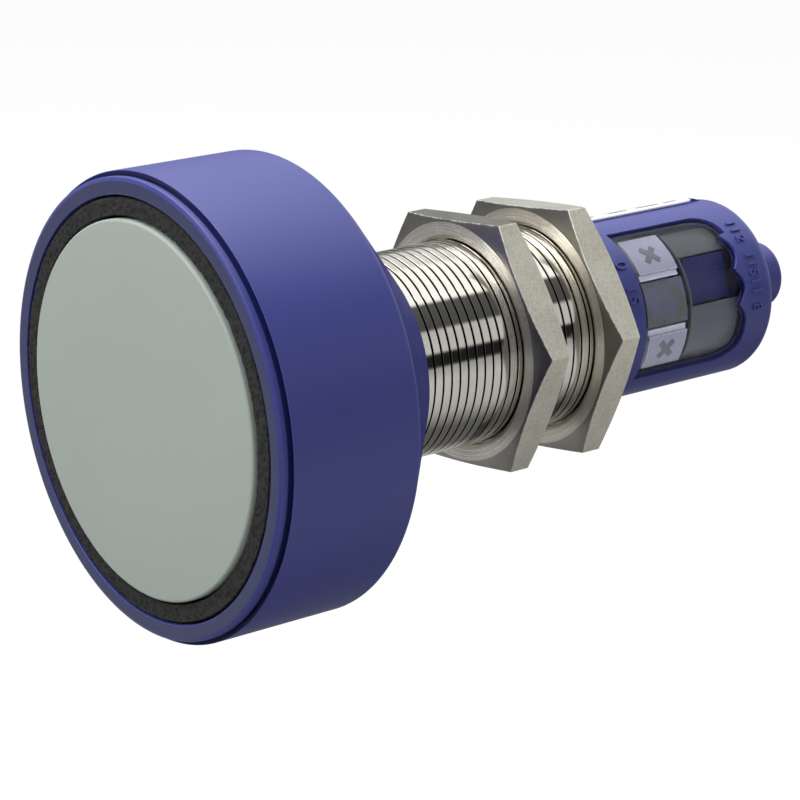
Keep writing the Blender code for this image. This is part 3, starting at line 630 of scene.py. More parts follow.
@dataclass(frozen=True)
class NickelFinish:
    """Bright nickel plating over one kind of machined surface, darkened for some kinds as painted shade.
    """

    surface: NickelSurface
    colour: Colour
    dark: Colour
    roughness: float
    spread: float
    scale: float
    depth: float
    wear_and_glint: float
    grooves: tuple[float, float] | None = None
    groove_shade_colour: Colour = (0.24, 0.23, 0.20)

    def build(self) -> bpy.types.Material:
        """Build the finish: blasted grain or tool marks, shade painted into the grooves, and bright
        edges that are partly wear and partly painted highlight.
        """
        w, shader, material = start_material(f"nickel_{self.surface.value}", Metallic=1.0)
        if self.surface in (NickelSurface.FLAT, NickelSurface.DULL, NickelSurface.SATIN):
            marks = w.add("Group", set_node_tree=EFFECTS.grain(), Scale=self.scale)
            level = marks.outputs["Fine"]
        else:
            along = self.surface is NickelSurface.THREAD
            across, axial = (0.0, self.scale) if along else (self.scale, 0.0)
            marks = w.add(
                "Group", set_node_tree=EFFECTS.rings(), Marks=across, Axial_Marks=axial
            )
            level = marks.outputs["Fac"]
        w.put(marks, Depth=self.depth)
        place = w.place()
        stain = w.add("TexNoise", Vector=place, Scale=180.0, Detail=4.0).outputs["Fac"]
        tone = w.math("ADD", w.math("MULTIPLY", level, 0.6), w.math("MULTIPLY", stain, 0.4))
        colour = w.blend(w.ramp(tone, ((0.3, 0.0), (0.6, 1.0))), self.dark, self.colour)
        rough = w.math("ADD", self.roughness, w.math("MULTIPLY", level, self.spread))
        # Darker towards the thread's roots by radius: painted shade in the grooves.
        if self.grooves is not None:
            root, crest = self.grooves
            depth = w.add("MapRange", Value=marks.outputs["Radius"], From_Min=root, From_Max=crest)
            colour = w.blend(depth.outputs["Result"], self.groove_shade_colour, colour)
        # Pale, less metallic outer edges: partly worn nicks, partly a painted highlight that stays
        # bright under any light.
        if self.wear_and_glint:
            edges = w.add("Group", set_node_tree=EFFECTS.edge_mask())
            share = w.math("MULTIPLY", edges.outputs["Mask"], self.wear_and_glint)
            colour = w.blend(share, colour, (0.8, 0.79, 0.76))
            plated = w.math("SUBTRACT", 1.0, w.math("MULTIPLY", share, 0.7))
            w.put(shader, Metallic=plated)
        w.put(shader, Base_Color=colour, Roughness=rough, Normal=marks.outputs["Normal"])
        return material


@dataclass(frozen=True)
class ClearFinish:
    """Clear or frosted plastic that light passes through."""

    name: str
    colour: Colour
    roughness: float
    transmission: float
    scale: float = 500.0
    depth: float = 4e-6
    spread: float = 0.1
    ior: float = 1.18

    def build(self) -> bpy.types.Material:
        """Build the finish with a faintly uneven surface."""
        w, shader, material = start_material(
            self.name,
            Base_Color=self.colour,
            IOR=self.ior,
            Transmission_Weight=self.transmission,
        )
        place = w.place()
        waves = w.add("TexNoise", Vector=place, Scale=self.scale, Detail=3.0).outputs["Fac"]
        rough = w.math("ADD", self.roughness, w.math("MULTIPLY", waves, self.spread))
        bump = w.add("Bump", Height=waves, Distance=self.depth)
        w.put(shader, Roughness=rough, Normal=bump.outputs["Normal"])
        return material


@dataclass(frozen=True)
class BoardFinish:
    """Green circuit board with copper tracks under the lacquer."""

    name: str
    colour: Colour = (0.012, 0.085, 0.035)
    track: Colour = (0.03, 0.16, 0.06)

    def build(self) -> bpy.types.Material:
        """Build the finish with raised tracks."""
        w, shader, material = start_material(self.name, Roughness=0.35, Coat_Weight=0.4)
        place = w.place()
        tracks = w.add("TexBrick", Vector=place, Scale=260.0, Mortar_Size=0.035)
        share = tracks.outputs["Fac"]
        weave = w.add("TexNoise", Vector=place, Scale=1800.0, Detail=2.0).outputs["Fac"]
        colour = w.blend(share, self.colour, self.track)
        height = w.math("ADD", share, w.math("MULTIPLY", weave, 0.2))
        bump = w.add("Bump", Height=height, Distance=2e-5)
        w.put(shader, Base_Color=colour, Normal=bump.outputs["Normal"])
        return material


class Finishes:
    """All finishes of the sensor, built once."""

    def __init__(self) -> None:
        """Build every finish."""
        self.housing = GrainedFinish(
            "moulded_blue", (0.033, 0.042, 0.240), 0.43, scale=2400.0, depth=7e-6, mottle=0.06,
            wear_and_glint=0.3, wear_and_glint_colour=(0.12, 0.12, 0.42), sheen=0.1,
        ).build()
        # A darker, barely reflective copy of the moulded blue for the cup's rear cone: painted shade.
        self.cone = GrainedFinish(
            "shaded_cone_blue", (0.036, 0.040, 0.205), 0.6, scale=2400.0, mottle=0.06, specular=0.06
        ).build()
        self.bezel = GrainedFinish(
            "ring_blue", (0.037, 0.045, 0.128), 0.42, scale=2600.0, depth=6e-6, mottle=0.12,
            wear_and_glint=0.6, wear_and_glint_colour=(0.10, 0.11, 0.38),
        ).build()
        self.face = GrainedFinish(
            "matching_layer", (0.415, 0.472, 0.425), 0.55, scale=1500.0, depth=4e-6, mottle=0.05,
            broad_scale=90.0, specular=0.35,
        ).build()
        self.foam = FoamFinish("decoupling_foam", (0.04, 0.04, 0.041), (0.015, 0.015, 0.016)).build()
        self.nickel = {finish.surface: finish.build() for finish in self.nickel_finishes()}
        self.clear = ClearFinish("clear_cover", (0.93, 0.94, 0.98), 0.10, 1.0).build()
        self.frosted = GrainedFinish(
            "frosted_key", (0.32, 0.32, 0.40), 0.4, scale=1800.0, mottle=0.15,
            wear_and_glint=0.9, wear_and_glint_colour=(0.65, 0.65, 0.74),
        ).build()
        # A lighter copy of the key's frosted plastic for the ledge's top: painted light.
        self.ledge = GrainedFinish(
            "lit_frosted_ledge", (0.58, 0.58, 0.68), 0.4, scale=1800.0, mottle=0.15,
            wear_and_glint=0.9, wear_and_glint_colour=(0.80, 0.80, 0.86),
        ).build()
        self.guide = GrainedFinish(
            "light_guide", (0.105, 0.10, 0.16), 0.35, scale=1500.0, mottle=0.2,
            broad_scale=420.0, specular=0.3, blotch=(0.08, 0.09, 0.085),
        ).build()
        self.surround = GrainedFinish(
            "grey_surround", (0.080, 0.080, 0.108), 0.35, scale=1500.0, mottle=0.2,
            broad_scale=160.0, specular=0.3, blotch=(0.072, 0.080, 0.078),
        ).build()
        self.display = GrainedFinish(
            "dark_display", (0.007, 0.011, 0.080), 0.35, scale=900.0, depth=1e-6, mottle=0.05,
            specular=0.2,
        ).build()
        self.mark = GrainedFinish("key_cross", (0.14, 0.143, 0.165), 0.5).build()
        # Dark navy for the cover's edge faces: painted shade of the window's walls.
        self.rim = GrainedFinish("cover_edge_shade", (0.006, 0.008, 0.04), 0.35, depth=2e-6).build()
        self.rubber = GrainedFinish("seal_rubber", (0.012, 0.012, 0.012), 0.7).build()
        self.ceramic = GrainedFinish("piezo_ceramic", (0.5, 0.45, 0.3), 0.55, mottle=0.2).build()
        self.board = BoardFinish("circuit_board").build()
        self.component = GrainedFinish("component_black", (0.015, 0.015, 0.016), 0.5).build()
        self.gold = GrainedFinish(
            "contact_gold", (0.83, 0.56, 0.2), 0.22, metallic=1.0, depth=2e-6
        ).build()
        self.wire = GrainedFinish("lead_red", (0.4, 0.03, 0.02), 0.45).build()
        self.label = GrainedFinish(
            "label_white", (0.82, 0.82, 0.88), 0.4, scale=900.0, depth=2e-6, mottle=0.03
        ).build()
        self.ink = GrainedFinish("label_ink", (0.12, 0.12, 0.13), 0.5, depth=1e-6).build()

    @staticmethod
    def nickel_finishes() -> tuple[NickelFinish, ...]:
        """The plating over thread, flats, turned faces and chamfers, with painted shade in the thread's
        grooves, on the chamfers and on two darker copies for the topmost flats.
        """
        return (
            NickelFinish(
                NickelSurface.THREAD, (0.72, 0.70, 0.64), (0.58, 0.56, 0.51),
                roughness=0.05, spread=0.05, scale=14000.0, depth=1.5e-6, wear_and_glint=0.0,
                grooves=(14.2 * MM, 14.95 * MM),
            ),
            NickelFinish(
                NickelSurface.FLAT, (0.88, 0.86, 0.74), (0.60, 0.58, 0.49),
                roughness=0.38, spread=0.12, scale=3000.0, depth=1.4e-5, wear_and_glint=1.0,
            ),
            NickelFinish(
                NickelSurface.TURNED, (0.90, 0.87, 0.77), (0.66, 0.63, 0.55),
                roughness=0.18, spread=0.1, scale=6000.0, depth=8e-5, wear_and_glint=0.0,
            ),
            # The chamfers' plating is darkened far below the flats': painted shade for the dark
            # surroundings they reflect.
            NickelFinish(
                NickelSurface.CHAMFER, (0.37, 0.36, 0.32), (0.24, 0.23, 0.21),
                roughness=0.26, spread=0.1, scale=8000.0, depth=8e-6, wear_and_glint=1.0,
            ),
            # Darker copies of the flat plating for the topmost flat of the front and the rear nut:
            # painted shade.
            NickelFinish(
                NickelSurface.DULL, (0.27, 0.265, 0.245), (0.14, 0.135, 0.125),
                roughness=0.34, spread=0.12, scale=3000.0, depth=1.8e-5, wear_and_glint=1.0,
            ),
            NickelFinish(
                NickelSurface.SATIN, (0.66, 0.65, 0.58), (0.44, 0.43, 0.38),
                roughness=0.36, spread=0.12, scale=3000.0, depth=1.6e-5, wear_and_glint=1.0,
            ),
        )


@dataclass
class HeadAssembly:
    """The wide head: cup, front ring, foam ring and sound-emitting face."""

    finishes: Finishes
    segments: int = 256
    flange_end: float = 1.6 * MM
    lip_front: float = 2.0 * MM
    lip_flat: float = 0.1 * MM
    lip_bevel: float = 0.1 * MM
    rim_round: float = 1.2 * MM
    side_length: float = 20.4 * MM
    collar_edge: float = 0.4 * MM
    wall: float = 2.6 * MM
    collar_wall: float = 1.8 * MM
    port_lip: float = 2.1 * MM
    port_floor: float = 1.5 * MM
    well_outside: float = 2.3 * MM
    well_depth: float = 3.0 * MM
    ring_width: float = 2.4 * MM
    ring_chamfer: float = 0.55 * MM
    ring_root: float = 0.8 * MM
    face_edge: float = 0.4 * MM
    foam_rows: int = 14
    foam_columns: int = 420
    foam_relief: float = 0.16 * MM
    foam_ragged: float = 0.11 * MM
    foam_skin: float = 1.0 * MM

    def build(self) -> None:
        """Build and dress the four pieces."""
        self.build_cup()
        self.build_ring()
        self.build_face()
        self.build_foam()

    def build_cup(self) -> bpy.types.Object:
        """The moulded cup: lip, straight side, rounded rim, cone and collar."""
        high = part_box("head_housing")[1]
        radius = high.x
        rear = high.y
        rim = self.lip_front + self.side_length
        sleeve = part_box("threaded_sleeve")
        socket = sleeve[1].x + SEAT_GAP
        collar = socket + self.collar_wall
        ring_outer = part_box("front_bezel")[1].x
        inner = ring_outer - self.ring_width
        floor = sleeve[0].y - SEAT_GAP
        ring_root = ring_outer - self.ring_root + SEAT_GAP
        ring_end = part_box("front_bezel")[1].y + SEAT_GAP
        countersink = self.lip_front + radius - self.lip_flat - ring_root
        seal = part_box("head_seal")
        outline = [
            (radius - self.lip_flat, self.lip_front, self.lip_bevel / 4),
            (radius, self.lip_front, self.lip_bevel / 2),
            (radius, rim, self.rim_round),
            (collar, rear, self.collar_edge),
            (socket, rear),
            (socket, seal[1].y + SEAT_GAP),
            (seal[1].x + SEAT_GAP, seal[1].y + SEAT_GAP),
            (seal[1].x + SEAT_GAP, seal[0].y - SEAT_GAP),
            (socket, seal[0].y - SEAT_GAP),
            (socket, floor),
            (socket - self.port_lip, floor),
            (socket - self.port_lip, floor - self.port_floor),
            (socket + self.well_outside, floor - self.port_floor),
            (socket + self.well_outside, floor + self.well_depth),
            (inner, rim - self.wall * 0.55),
            (inner, ring_end),
            (ring_root, ring_end),
            (ring_root, countersink, self.lip_bevel),
        ]
        cup = turned("head_cup", outline, self.segments, self.finishes.housing, steps=8)
        # The rear cone faces get the shaded copy: painted shade in place of the dark surroundings they
        # reflect.
        redress(cup, self.finishes.cone, lambda p: p.normal.y > 0.6 and p.center.y > rim)
        return seat(cup, SENSOR_BODY, ["head_housing"])

    def build_ring(self) -> bpy.types.Object:
        """The front ring: flat face, chamfered edge, side, and the spigot behind it."""
        low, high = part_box("front_bezel")
        outer = high.x
        inner = outer - self.ring_width
        root = outer - self.ring_root
        outline = [
            (inner, low.y, 0.15 * MM),
            (outer - self.ring_chamfer, low.y, 0.3 * MM),
            (outer, low.y + self.ring_chamfer * 0.45, 0.2 * MM),
            (outer, self.flange_end, 0.1 * MM),
            (root, self.flange_end),
            (root, high.y),
            (inner, high.y),
        ]
        ring = turned("front_ring", outline, self.segments, self.finishes.bezel)
        redress(ring, self.finishes.housing, lambda p: p.normal.y > -0.97)
        return seat(ring, SENSOR_BODY, ["front_bezel"])

    def build_face(self) -> bpy.types.Object:
        """The matching layer that sends the sound, a plain disc with a soft edge."""
        low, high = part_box("transducer_face")
        outline = [
            (0.0, low.y),
            (high.x * 0.5, low.y),
            (high.x, low.y, self.face_edge),
            (high.x, high.y),
            (0.0, high.y),
        ]
        face = turned("sound_face", outline, self.segments, self.finishes.face)
        return seat(face, SENSOR_BODY, ["transducer_face"])

    def build_foam(self) -> bpy.types.Object:
        """The porous foam ring, with an uneven front and ragged edges."""
        low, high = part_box("foam_ring")
        outer = high.x
        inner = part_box("transducer_face")[1].x + SEAT_GAP
        bm = bmesh.new()
        rows = []
        for column in range(self.foam_columns):
            angle = 360.0 * column / self.foam_columns
            points = []
            for row in range(self.foam_rows + 1):
                share = row / self.foam_rows
                place = on_cylinder(inner + (outer - inner) * share, angle, low.y)
                rough = noise.noise(place * 1100.0) + 0.6 * noise.noise(place * 2600.0)
                depth = self.foam_relief * max(-0.1, rough + 0.25)
                edge = min(share, 1.0 - share)
                if edge < 0.5 / self.foam_rows:
                    depth += 0.25 * MM
                shift = self.foam_ragged * noise.noise(place * 900.0 + Vector((5.0, 3.0, 1.0)))
                radial = inner + (outer - inner) * share
                if edge < 1e-9:
                    radial += (0.05 * MM + abs(shift)) * (1.0 if share < 0.5 else -1.0)
                points.append(bm.verts.new(on_cylinder(radial, angle, low.y + depth)))
            skin = low.y + self.foam_skin
            for radius, y in ((outer, skin), (outer, high.y), (inner, high.y), (inner, skin)):
                points.append(bm.verts.new(on_cylinder(radius, angle, y)))
            rows.append(points)
        bridge(bm, rows + rows[:1])
        foam = to_object("foam_gasket", bm, self.finishes.foam, sharp=60.0)
        return seat(foam, SENSOR_BODY, ["foam_ring"])


@dataclass
class ThreadedSleeve:
    """The nickel-plated tube with its M30 x 1.5 outer thread."""

    finishes: Finishes
    pitch: float = 1.5 * MM
    root: float = 14.12 * MM
    wall: float = 1.5 * MM
    columns: int = 168
    profile: tuple[tuple[float, float], ...] = (
        (0.00, 0.55), (0.02, 0.97), (0.04, 1.00), (0.08, 1.00), (0.42, 1.00), (0.74, 1.00),
        (0.78, 1.00), (0.80, 0.97), (0.84, 0.25), (0.87, 0.0), (0.95, 0.0),
    )

    def build(self) -> bpy.types.Object:
        """Build the thread as rows that follow the helix, closed by flat ends and a bore."""
        low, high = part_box("threaded_sleeve")
        crest = high.x
        length = high.y - low.y
        turns = int(length / self.pitch) - 1
        slack = length - self.pitch * (turns + 1)
        start = low.y + slack / 2
        per_turn = len(self.profile)
        bm = bmesh.new()
        rows = []
        for row in range(turns * per_turn + 1):
            whole, part = divmod(row, per_turn)
            along = (whole + self.profile[part][0]) * self.pitch
            fade = self.run_out(along, turns * self.pitch)
            radius = self.root + (crest - self.root) * self.profile[part][1] * fade
            rows.append(self.circle(bm, radius, start + along, self.pitch / self.columns))
        front = [rows[0][0]] + [
            bm.verts.new(on_cylinder(self.root, self.angle(c), start)) for c in range(1, self.columns)
        ]
        end = start + self.pitch * (turns + 1)
        rear = self.circle(bm, self.root, end)
        self.join_rows(bm, rows, per_turn)
        self.join_ends(bm, rows, per_turn, front, rear)
        self.close_tube(bm, front, rear, low.y, high.y, crest - self.wall)
        sleeve = to_object(
            "sleeve_thread", bm, self.finishes.nickel[NickelSurface.THREAD], sharp=25.0
        )
        return seat(sleeve, SENSOR_BODY, ["threaded_sleeve"])

    def angle(self, column: int) -> float:
        """The angle of a column; the seam lies on the far side."""
        return 180.0 + 360.0 * column / self.columns

    def run_out(self, along: float, total: float) -> float:
        """How much of the thread's height is left near the two ends."""
        near = min(along, total - along)
        return max(0.0, min(1.0, (near - 0.4 * self.pitch) / (0.7 * self.pitch)))

    def circle(
        self, bm: bmesh.types.BMesh, radius: float, y: float, climb: float = 0.0
    ) -> list[bmesh.types.BMVert]:
        """One row of points round the tube, which may climb a step from each to the next."""
        return [
            bm.verts.new(on_cylinder(radius, self.angle(c), y + climb * c))
            for c in range(self.columns)
        ]

    def join_rows(self, bm: bmesh.types.BMesh, rows: list, per_turn: int) -> None:
        """Faces between neighbouring rows, stitched one turn on at the seam."""
        last = self.columns - 1
        for index, (row, following) in enumerate(zip(rows, rows[1:])):
            for c in range(last):
                bm.faces.new((row[c], row[c + 1], following[c + 1], following[c]))
            if index + 1 + per_turn < len(rows):
                seam = (rows[index + per_turn][0], rows[index + per_turn + 1][0])
                bm.faces.new((row[last], seam[0], seam[1], following[last]))

    def join_ends(
        self, bm: bmesh.types.BMesh, rows: list, per_turn: int, front: list, rear: list
    ) -> None:
        """Faces from the first and last rows to the flat end circles.

        Args:
            bm: The mesh.
            rows: The helix rows.
            per_turn: Number of rows in one turn.
            front: Points of the front circle, whose first is the first row's first.
            rear: Points of the rear circle.
        """
        last = self.columns - 1
        first, final = rows[0], rows[-1]
        bm.faces.new((front[0], front[1], first[1]))
        for c in range(1, last):
            bm.faces.new((front[c], front[c + 1], first[c + 1], first[c]))
        column = [rows[index][0] for index in range(per_turn, -1, -1)]
        bm.faces.new((front[last], *reversed(column), first[last]))
        for c in range(last):
            bm.faces.new((final[c], final[c + 1], rear[c + 1], rear[c]))
        bm.faces.new((final[last], rear[0], rear[last]))
        column = [rows[index][last] for index in range(len(rows) - 1 - per_turn, len(rows))]
        bm.faces.new((*column, rear[0], final[0]))

    def close_tube(
        self, bm: bmesh.types.BMesh, front: list, rear: list, low: float, high: float, bore: float
    ) -> None:
        """The plain ends, the end faces and the bore.

        Args:
            bm: The mesh.
            front: Points of the front circle.
            rear: Points of the rear circle.
            low: Front end of the tube.
            high: Rear end of the tube.
            bore: Radius of the bore.
        """
        edge = 0.15 * MM
        rings = [rear]
        for radius, y in (
            (self.root, high - edge), (self.root - edge, high), (bore, high), (bore, low),
            (self.root - edge, low), (self.root, low + edge),
        ):
            rings.append(self.circle(bm, radius, y))
        rings.append(front)
        bridge(bm, rings)


@dataclass
class LockNut:
    """One thin hexagon nut."""

    finishes: Finishes
    node: str
    body: str
    corner_angle: float
    # Plating of the topmost flat, a darker copy that paints shade.
    top: NickelSurface
    flat_radius: float = 18.0 * MM
    face_radius: float = 17.6 * MM
    corner_drop: float = 0.9 * MM
    bore: float = 15.2 * MM
    lead_in: float = 0.7 * MM
    overlap: float = 1.03
    soft_edge: float = 0.12 * MM

    def build(self) -> bpy.types.Object:
        """Cut the turned disc by a hexagonal prism, soften its edges and dress its surfaces."""
        low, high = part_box(self.node)
        corner = 2 * self.flat_radius / math.sqrt(3)
        beyond = corner * self.overlap
        drop = self.corner_drop * (beyond - self.face_radius) / (corner - self.face_radius)
        front, rear = low.y, high.y
        outline = [
            (self.bore + self.lead_in, front),
            (self.face_radius, front),
            (beyond, front + drop),
            (beyond, rear - drop),
            (self.face_radius, rear),
            (self.bore + self.lead_in, rear),
            (self.bore, rear - self.lead_in / 2),
            (self.bore, front + self.lead_in / 2),
        ]
        nut = turned(f"{self.node}_hexagon", outline, 192, None)
        prism = self.hexagon(corner, front, rear)
        combine(nut, prism, "INTERSECT")
        soften(nut, self.soft_edge, segments=2, angle=24.0)
        self.dress(nut)
        return seat(nut, self.body, [self.node])

    def hexagon(self, corner: float, front: float, rear: float) -> bpy.types.Object:
        """A hexagonal prism that is longer than the nut."""
        bm = bmesh.new()
        ends = []
        for y in (front - corner, rear + corner):
            angles = (self.corner_angle + 60.0 * index for index in range(6))
            ends.append([bm.verts.new(on_cylinder(corner, angle, y)) for angle in angles])
        bridge(bm, ends)
        bm.faces.new(ends[0])
        bm.faces.new(ends[1])
        return to_object(f"{self.node}_prism", bm, None)

    def dress(self, nut: bpy.types.Object) -> None:
        """Give flats and turned faces their plating, the chamfers a darkened plating, and the topmost
        flat a darker copy of the flat plating, both painted shade.
        """
        order = (NickelSurface.FLAT, NickelSurface.TURNED, NickelSurface.CHAMFER, self.top)
        nut.data.materials.clear()
        for surface in order:
            nut.data.materials.append(self.finishes.nickel[surface])
        for polygon in nut.data.polygons:
            along = abs(polygon.normal.y)
            centre = polygon.center
            radius = math.hypot(centre.x, centre.z)
            if along > 0.985 or radius < self.bore + self.lead_in:
                polygon.material_index = 1
            # Chamfers get the darkened plating: painted shade.
            elif along > 0.5:
                polygon.material_index = 2
            else:
                # An upward-facing flat gets the darker top-flat copy: painted shade.
                polygon.material_index = 3 if polygon.normal.z > 0.9 else 0


@dataclass
class WindowOutline:
    """The window's outline: straight front, rounded rear corners and three cusps behind."""

    front: float
    length: float = 20.7 * MM
    half_angle: float = 54.25
    radius: float = 13.5 * MM
    corner: float = 4.5 * MM
    cusp_middle: float = 9.6
    cusp_spacing: float = 24.0
    cusp_depth: float = 1.4 * MM
    step: float = 0.8

    def rear(self, angle: float) -> float:
        """The y of the rear edge at an angle from the window's middle."""
        end = self.front + self.length
        reach = math.radians(self.half_angle - abs(angle)) * self.radius
        if reach < self.corner:
            drop = self.corner - reach
            return end - self.corner + math.sqrt(max(self.corner**2 - drop**2, 0.0))
        phase = (angle - self.cusp_middle) / self.cusp_spacing
        if abs(phase) > 1.5:
            return end
        return end - self.cusp_depth * (1 - abs(math.sin(math.pi * phase)))

    def stations(self, inset: float) -> list[Station]:
        """Stations of the outline, drawn in by an inset on every side.

        Args:
            inset: Distance from the window's edge.

        Returns:
            Angle, front and rear at each station, closer together in the round corners.
        """
        half = self.half_angle - math.degrees(inset / self.radius)
        count = int(2 * half / self.step)
        angles = {self.cusp_middle + k * self.step for k in range(-count, count + 1)}
        angles = {angle for angle in angles if abs(angle) < half - self.step / 2}
        for k in range(1, 12):
            rise = math.degrees(self.corner * (1 - math.cos(math.pi / 2 * k / 12)) / self.radius)
            if rise < self.step:
                angles |= {half - rise, rise - half}
        angles |= {half, -half}
        front = self.front + inset
        return [(angle, front, self.rear(angle) - inset) for angle in sorted(angles)]


@dataclass
class RearHousing:
    """The blue rear moulding with its window opening, marks, label and plug stub."""

    finishes: Finishes
    outline: WindowOutline
    segments: int = 192
    end_round: float = 2.0 * MM
    wall: float = 1.5 * MM
    shoulder: float = 76.3 * MM
    spigot_radius: float = 13.2 * MM
    spigot_bore: float = 11.0 * MM
    radius: float = 13.5 * MM
    end: float = 107.0 * MM
    stub_radius: float = 5.15 * MM
    stub_bore: float = 3.85 * MM
    stub_edge: float = 0.95 * MM
    mark_height: float = 0.3 * MM
    front_marks: tuple[tuple[float, str], ...] = ((45.0, "0"), (28.5, "1"), (21.5, "5"))
    front_size: float = 3.0 * MM
    rear_marks: tuple[float, ...] = (59.0, 53.0, 46.0, 34.0, 28.5, 22.5, 16.5, 10.5, 0.0)
    rear_size: float = 2.4 * MM
    rear_gap: float = 2.1 * MM
    bar_size: tuple[float, float] = (0.4 * MM, 1.8 * MM)
    pad_angles: tuple[float, float] = (95.75, 149.75)
    pad_end: float = 106.6 * MM
    pad_slope: float = 3.4 * MM
    pad_height: float = 0.45 * MM
    label_angles: tuple[float, float] = (93.3, 150.2)
    label_ends: tuple[float, float] = (76.9 * MM, 102.8 * MM)
    label_corner: float = 1.5 * MM
    label_thickness: float = 0.06 * MM

    def build(self) -> None:
        """Build the moulding, its raised marks and its label."""
        self.build_housing()
        self.build_marks()
        self.build_label()

    def build_housing(self) -> bpy.types.Object:
        """The moulding itself, with the window cut out and the keyway in the stub."""
        low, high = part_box("rear_housing")
        front, stub_end = low.y, high.y
        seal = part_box("rear_seal")
        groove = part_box("threaded_sleeve")[1].x - 1.5 * MM - 0.9 * MM - 2 * SEAT_GAP
        cavity = self.radius - self.wall
        floor = self.end - self.wall
        outline = [
            (self.spigot_bore, front),
            (self.spigot_radius, front, 0.3 * MM),
            (self.spigot_radius, seal[0].y - SEAT_GAP),
            (groove, seal[0].y - SEAT_GAP),
            (groove, seal[1].y + SEAT_GAP),
            (self.spigot_radius, seal[1].y + SEAT_GAP),
            (self.spigot_radius, self.shoulder),
            (self.radius, self.shoulder, 0.25 * MM),
            (self.radius, self.end, self.end_round),
            (self.stub_radius, self.end, 0.35 * MM),
            (self.stub_radius, stub_end, self.stub_edge),
            (self.stub_bore, stub_end, 0.2 * MM),
            (self.stub_bore, floor),
            (cavity, floor),
            (cavity, self.shoulder + 1.2 * MM),
            (self.spigot_bore, self.shoulder + 1.2 * MM),
        ]
        housing = turned("rear_moulding", outline, self.segments, self.finishes.housing, steps=8)
        pad = tile(
            "label_pad",
            even_stations(*self.pad_angles, self.shoulder, self.pad_end),
            self.radius - self.wall / 2,
            self.radius + self.pad_height,
            None,
            0.0,
            self.pad_slope,
        )
        combine(housing, pad, "UNION")
        stations = self.outline.stations(0.0)
        opening = tile("window_tool", stations, cavity - self.wall, self.radius + self.wall, None)
        combine(housing, opening, "DIFFERENCE")
        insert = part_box("contact_insert")[1].y
        keyway = block(
            "keyway_tool",
            (self.stub_bore - 0.7 * MM, insert + SEAT_GAP, -0.5 * MM),
            (self.stub_bore + 0.8 * MM, stub_end - 0.5 * MM, 0.5 * MM),
            None,
        )
        combine(housing, keyway, "UNION")
        soften(housing, 0.12 * MM, segments=2, angle=50.0)
        return seat(housing, SENSOR_BODY, ["rear_housing"])

    def wrapped(
        self, name: str, flat: bpy.types.Object, angle: float, y: float, base: float
    ) -> bpy.types.Object:
        """Wrap a flat mesh, drawn in its local X and Y, round the moulding.

        Args:
            name: Name of the wrapped piece.
            flat: Flat mesh, whose local Z is its height; it becomes the piece.
            angle: Angle of its origin.
            y: Place of its origin along the axis.
            base: Radius of its underside.

        Returns:
            The wrapped piece.
        """
        flat.name = name
        for vert in flat.data.vertices:
            across, along, height = vert.co
            turn = angle - math.degrees(across / self.radius)
            vert.co = on_cylinder(base + height, turn, y + along)
        bm = bmesh.new()
        bm.from_mesh(flat.data)
        bmesh.ops.recalc_face_normals(bm, faces=bm.faces)
        bm.to_mesh(flat.data)
        bm.free()
        return flat

    def build_marks(self) -> bpy.types.Object:
        """Raised plain numbers and bars on the strips before and behind the window."""
        material = self.finishes.housing
        pieces = []
        front_y = (self.shoulder + self.outline.front) / 2
        for angle, text in self.front_marks:
            pieces.append(self.number(text, angle, front_y - 1.0 * MM, self.front_size, material))
        rear_y = self.outline.front + self.outline.length + self.rear_gap
        for index, angle in enumerate(self.rear_marks):
            if index % 3 == 2:
                foot = rear_y - self.bar_size[1] / 2
                pieces.append(self.number(str(index), angle, foot, self.rear_size, material))
            else:
                pieces.append(self.bar(angle, rear_y, *self.bar_size, material))
        return self.join("raised_marks", pieces, material)

    def number(
        self, text: str, angle: float, y: float, size: float, material: bpy.types.Material
    ) -> bpy.types.Object:
        """A raised plain number.

        Args:
            text: The number.
            angle: Its angle round the axis.
            y: Place of its foot along the axis.
            size: Its height.
            material: Its finish.

        Returns:
            The number, wrapped round the moulding.
        """
        curve = bpy.data.curves.new(f"number_{text}", "FONT")
        curve.body = text
        curve.size = size
        curve.extrude = self.mark_height
        curve.align_x = "CENTER"
        flat = linked(f"number_{text}", curve)
        bpy.context.view_layer.update()
        mesh = bpy.data.meshes.new_from_object(flat.evaluated_get(bpy.context.evaluated_depsgraph_get()))
        bpy.data.objects.remove(flat, do_unlink=True)
        piece = linked(f"number_{text}", mesh)
        mesh.materials.clear()
        mesh.materials.append(material)
        return self.wrapped(f"number_{text}", piece, angle, y, self.radius)

    def bar(
        self, angle: float, y: float, width: float, length: float, material: bpy.types.Material
    ) -> bpy.types.Object:
        """A raised bar that runs round the moulding."""
        bm = bmesh.new()
        bmesh.ops.create_cube(bm, size=1.0)
        for vert in bm.verts:
            vert.co.x *= width
            vert.co.y *= length
            vert.co.z *= 2 * self.mark_height
        return self.wrapped(f"bar_{angle:.0f}", to_object("bar", bm, material), angle, y, self.radius)

    def join(
        self, name: str, pieces: Sequence[bpy.types.Object], material: bpy.types.Material
    ) -> bpy.types.Object:
        """Join small pieces of one finish into one piece on the moulding."""
        bm = bmesh.new()
        for piece in pieces:
            bm.from_mesh(piece.data)
            bpy.data.objects.remove(piece, do_unlink=True)
        return seat(to_object(name, bm, material), SENSOR_BODY)

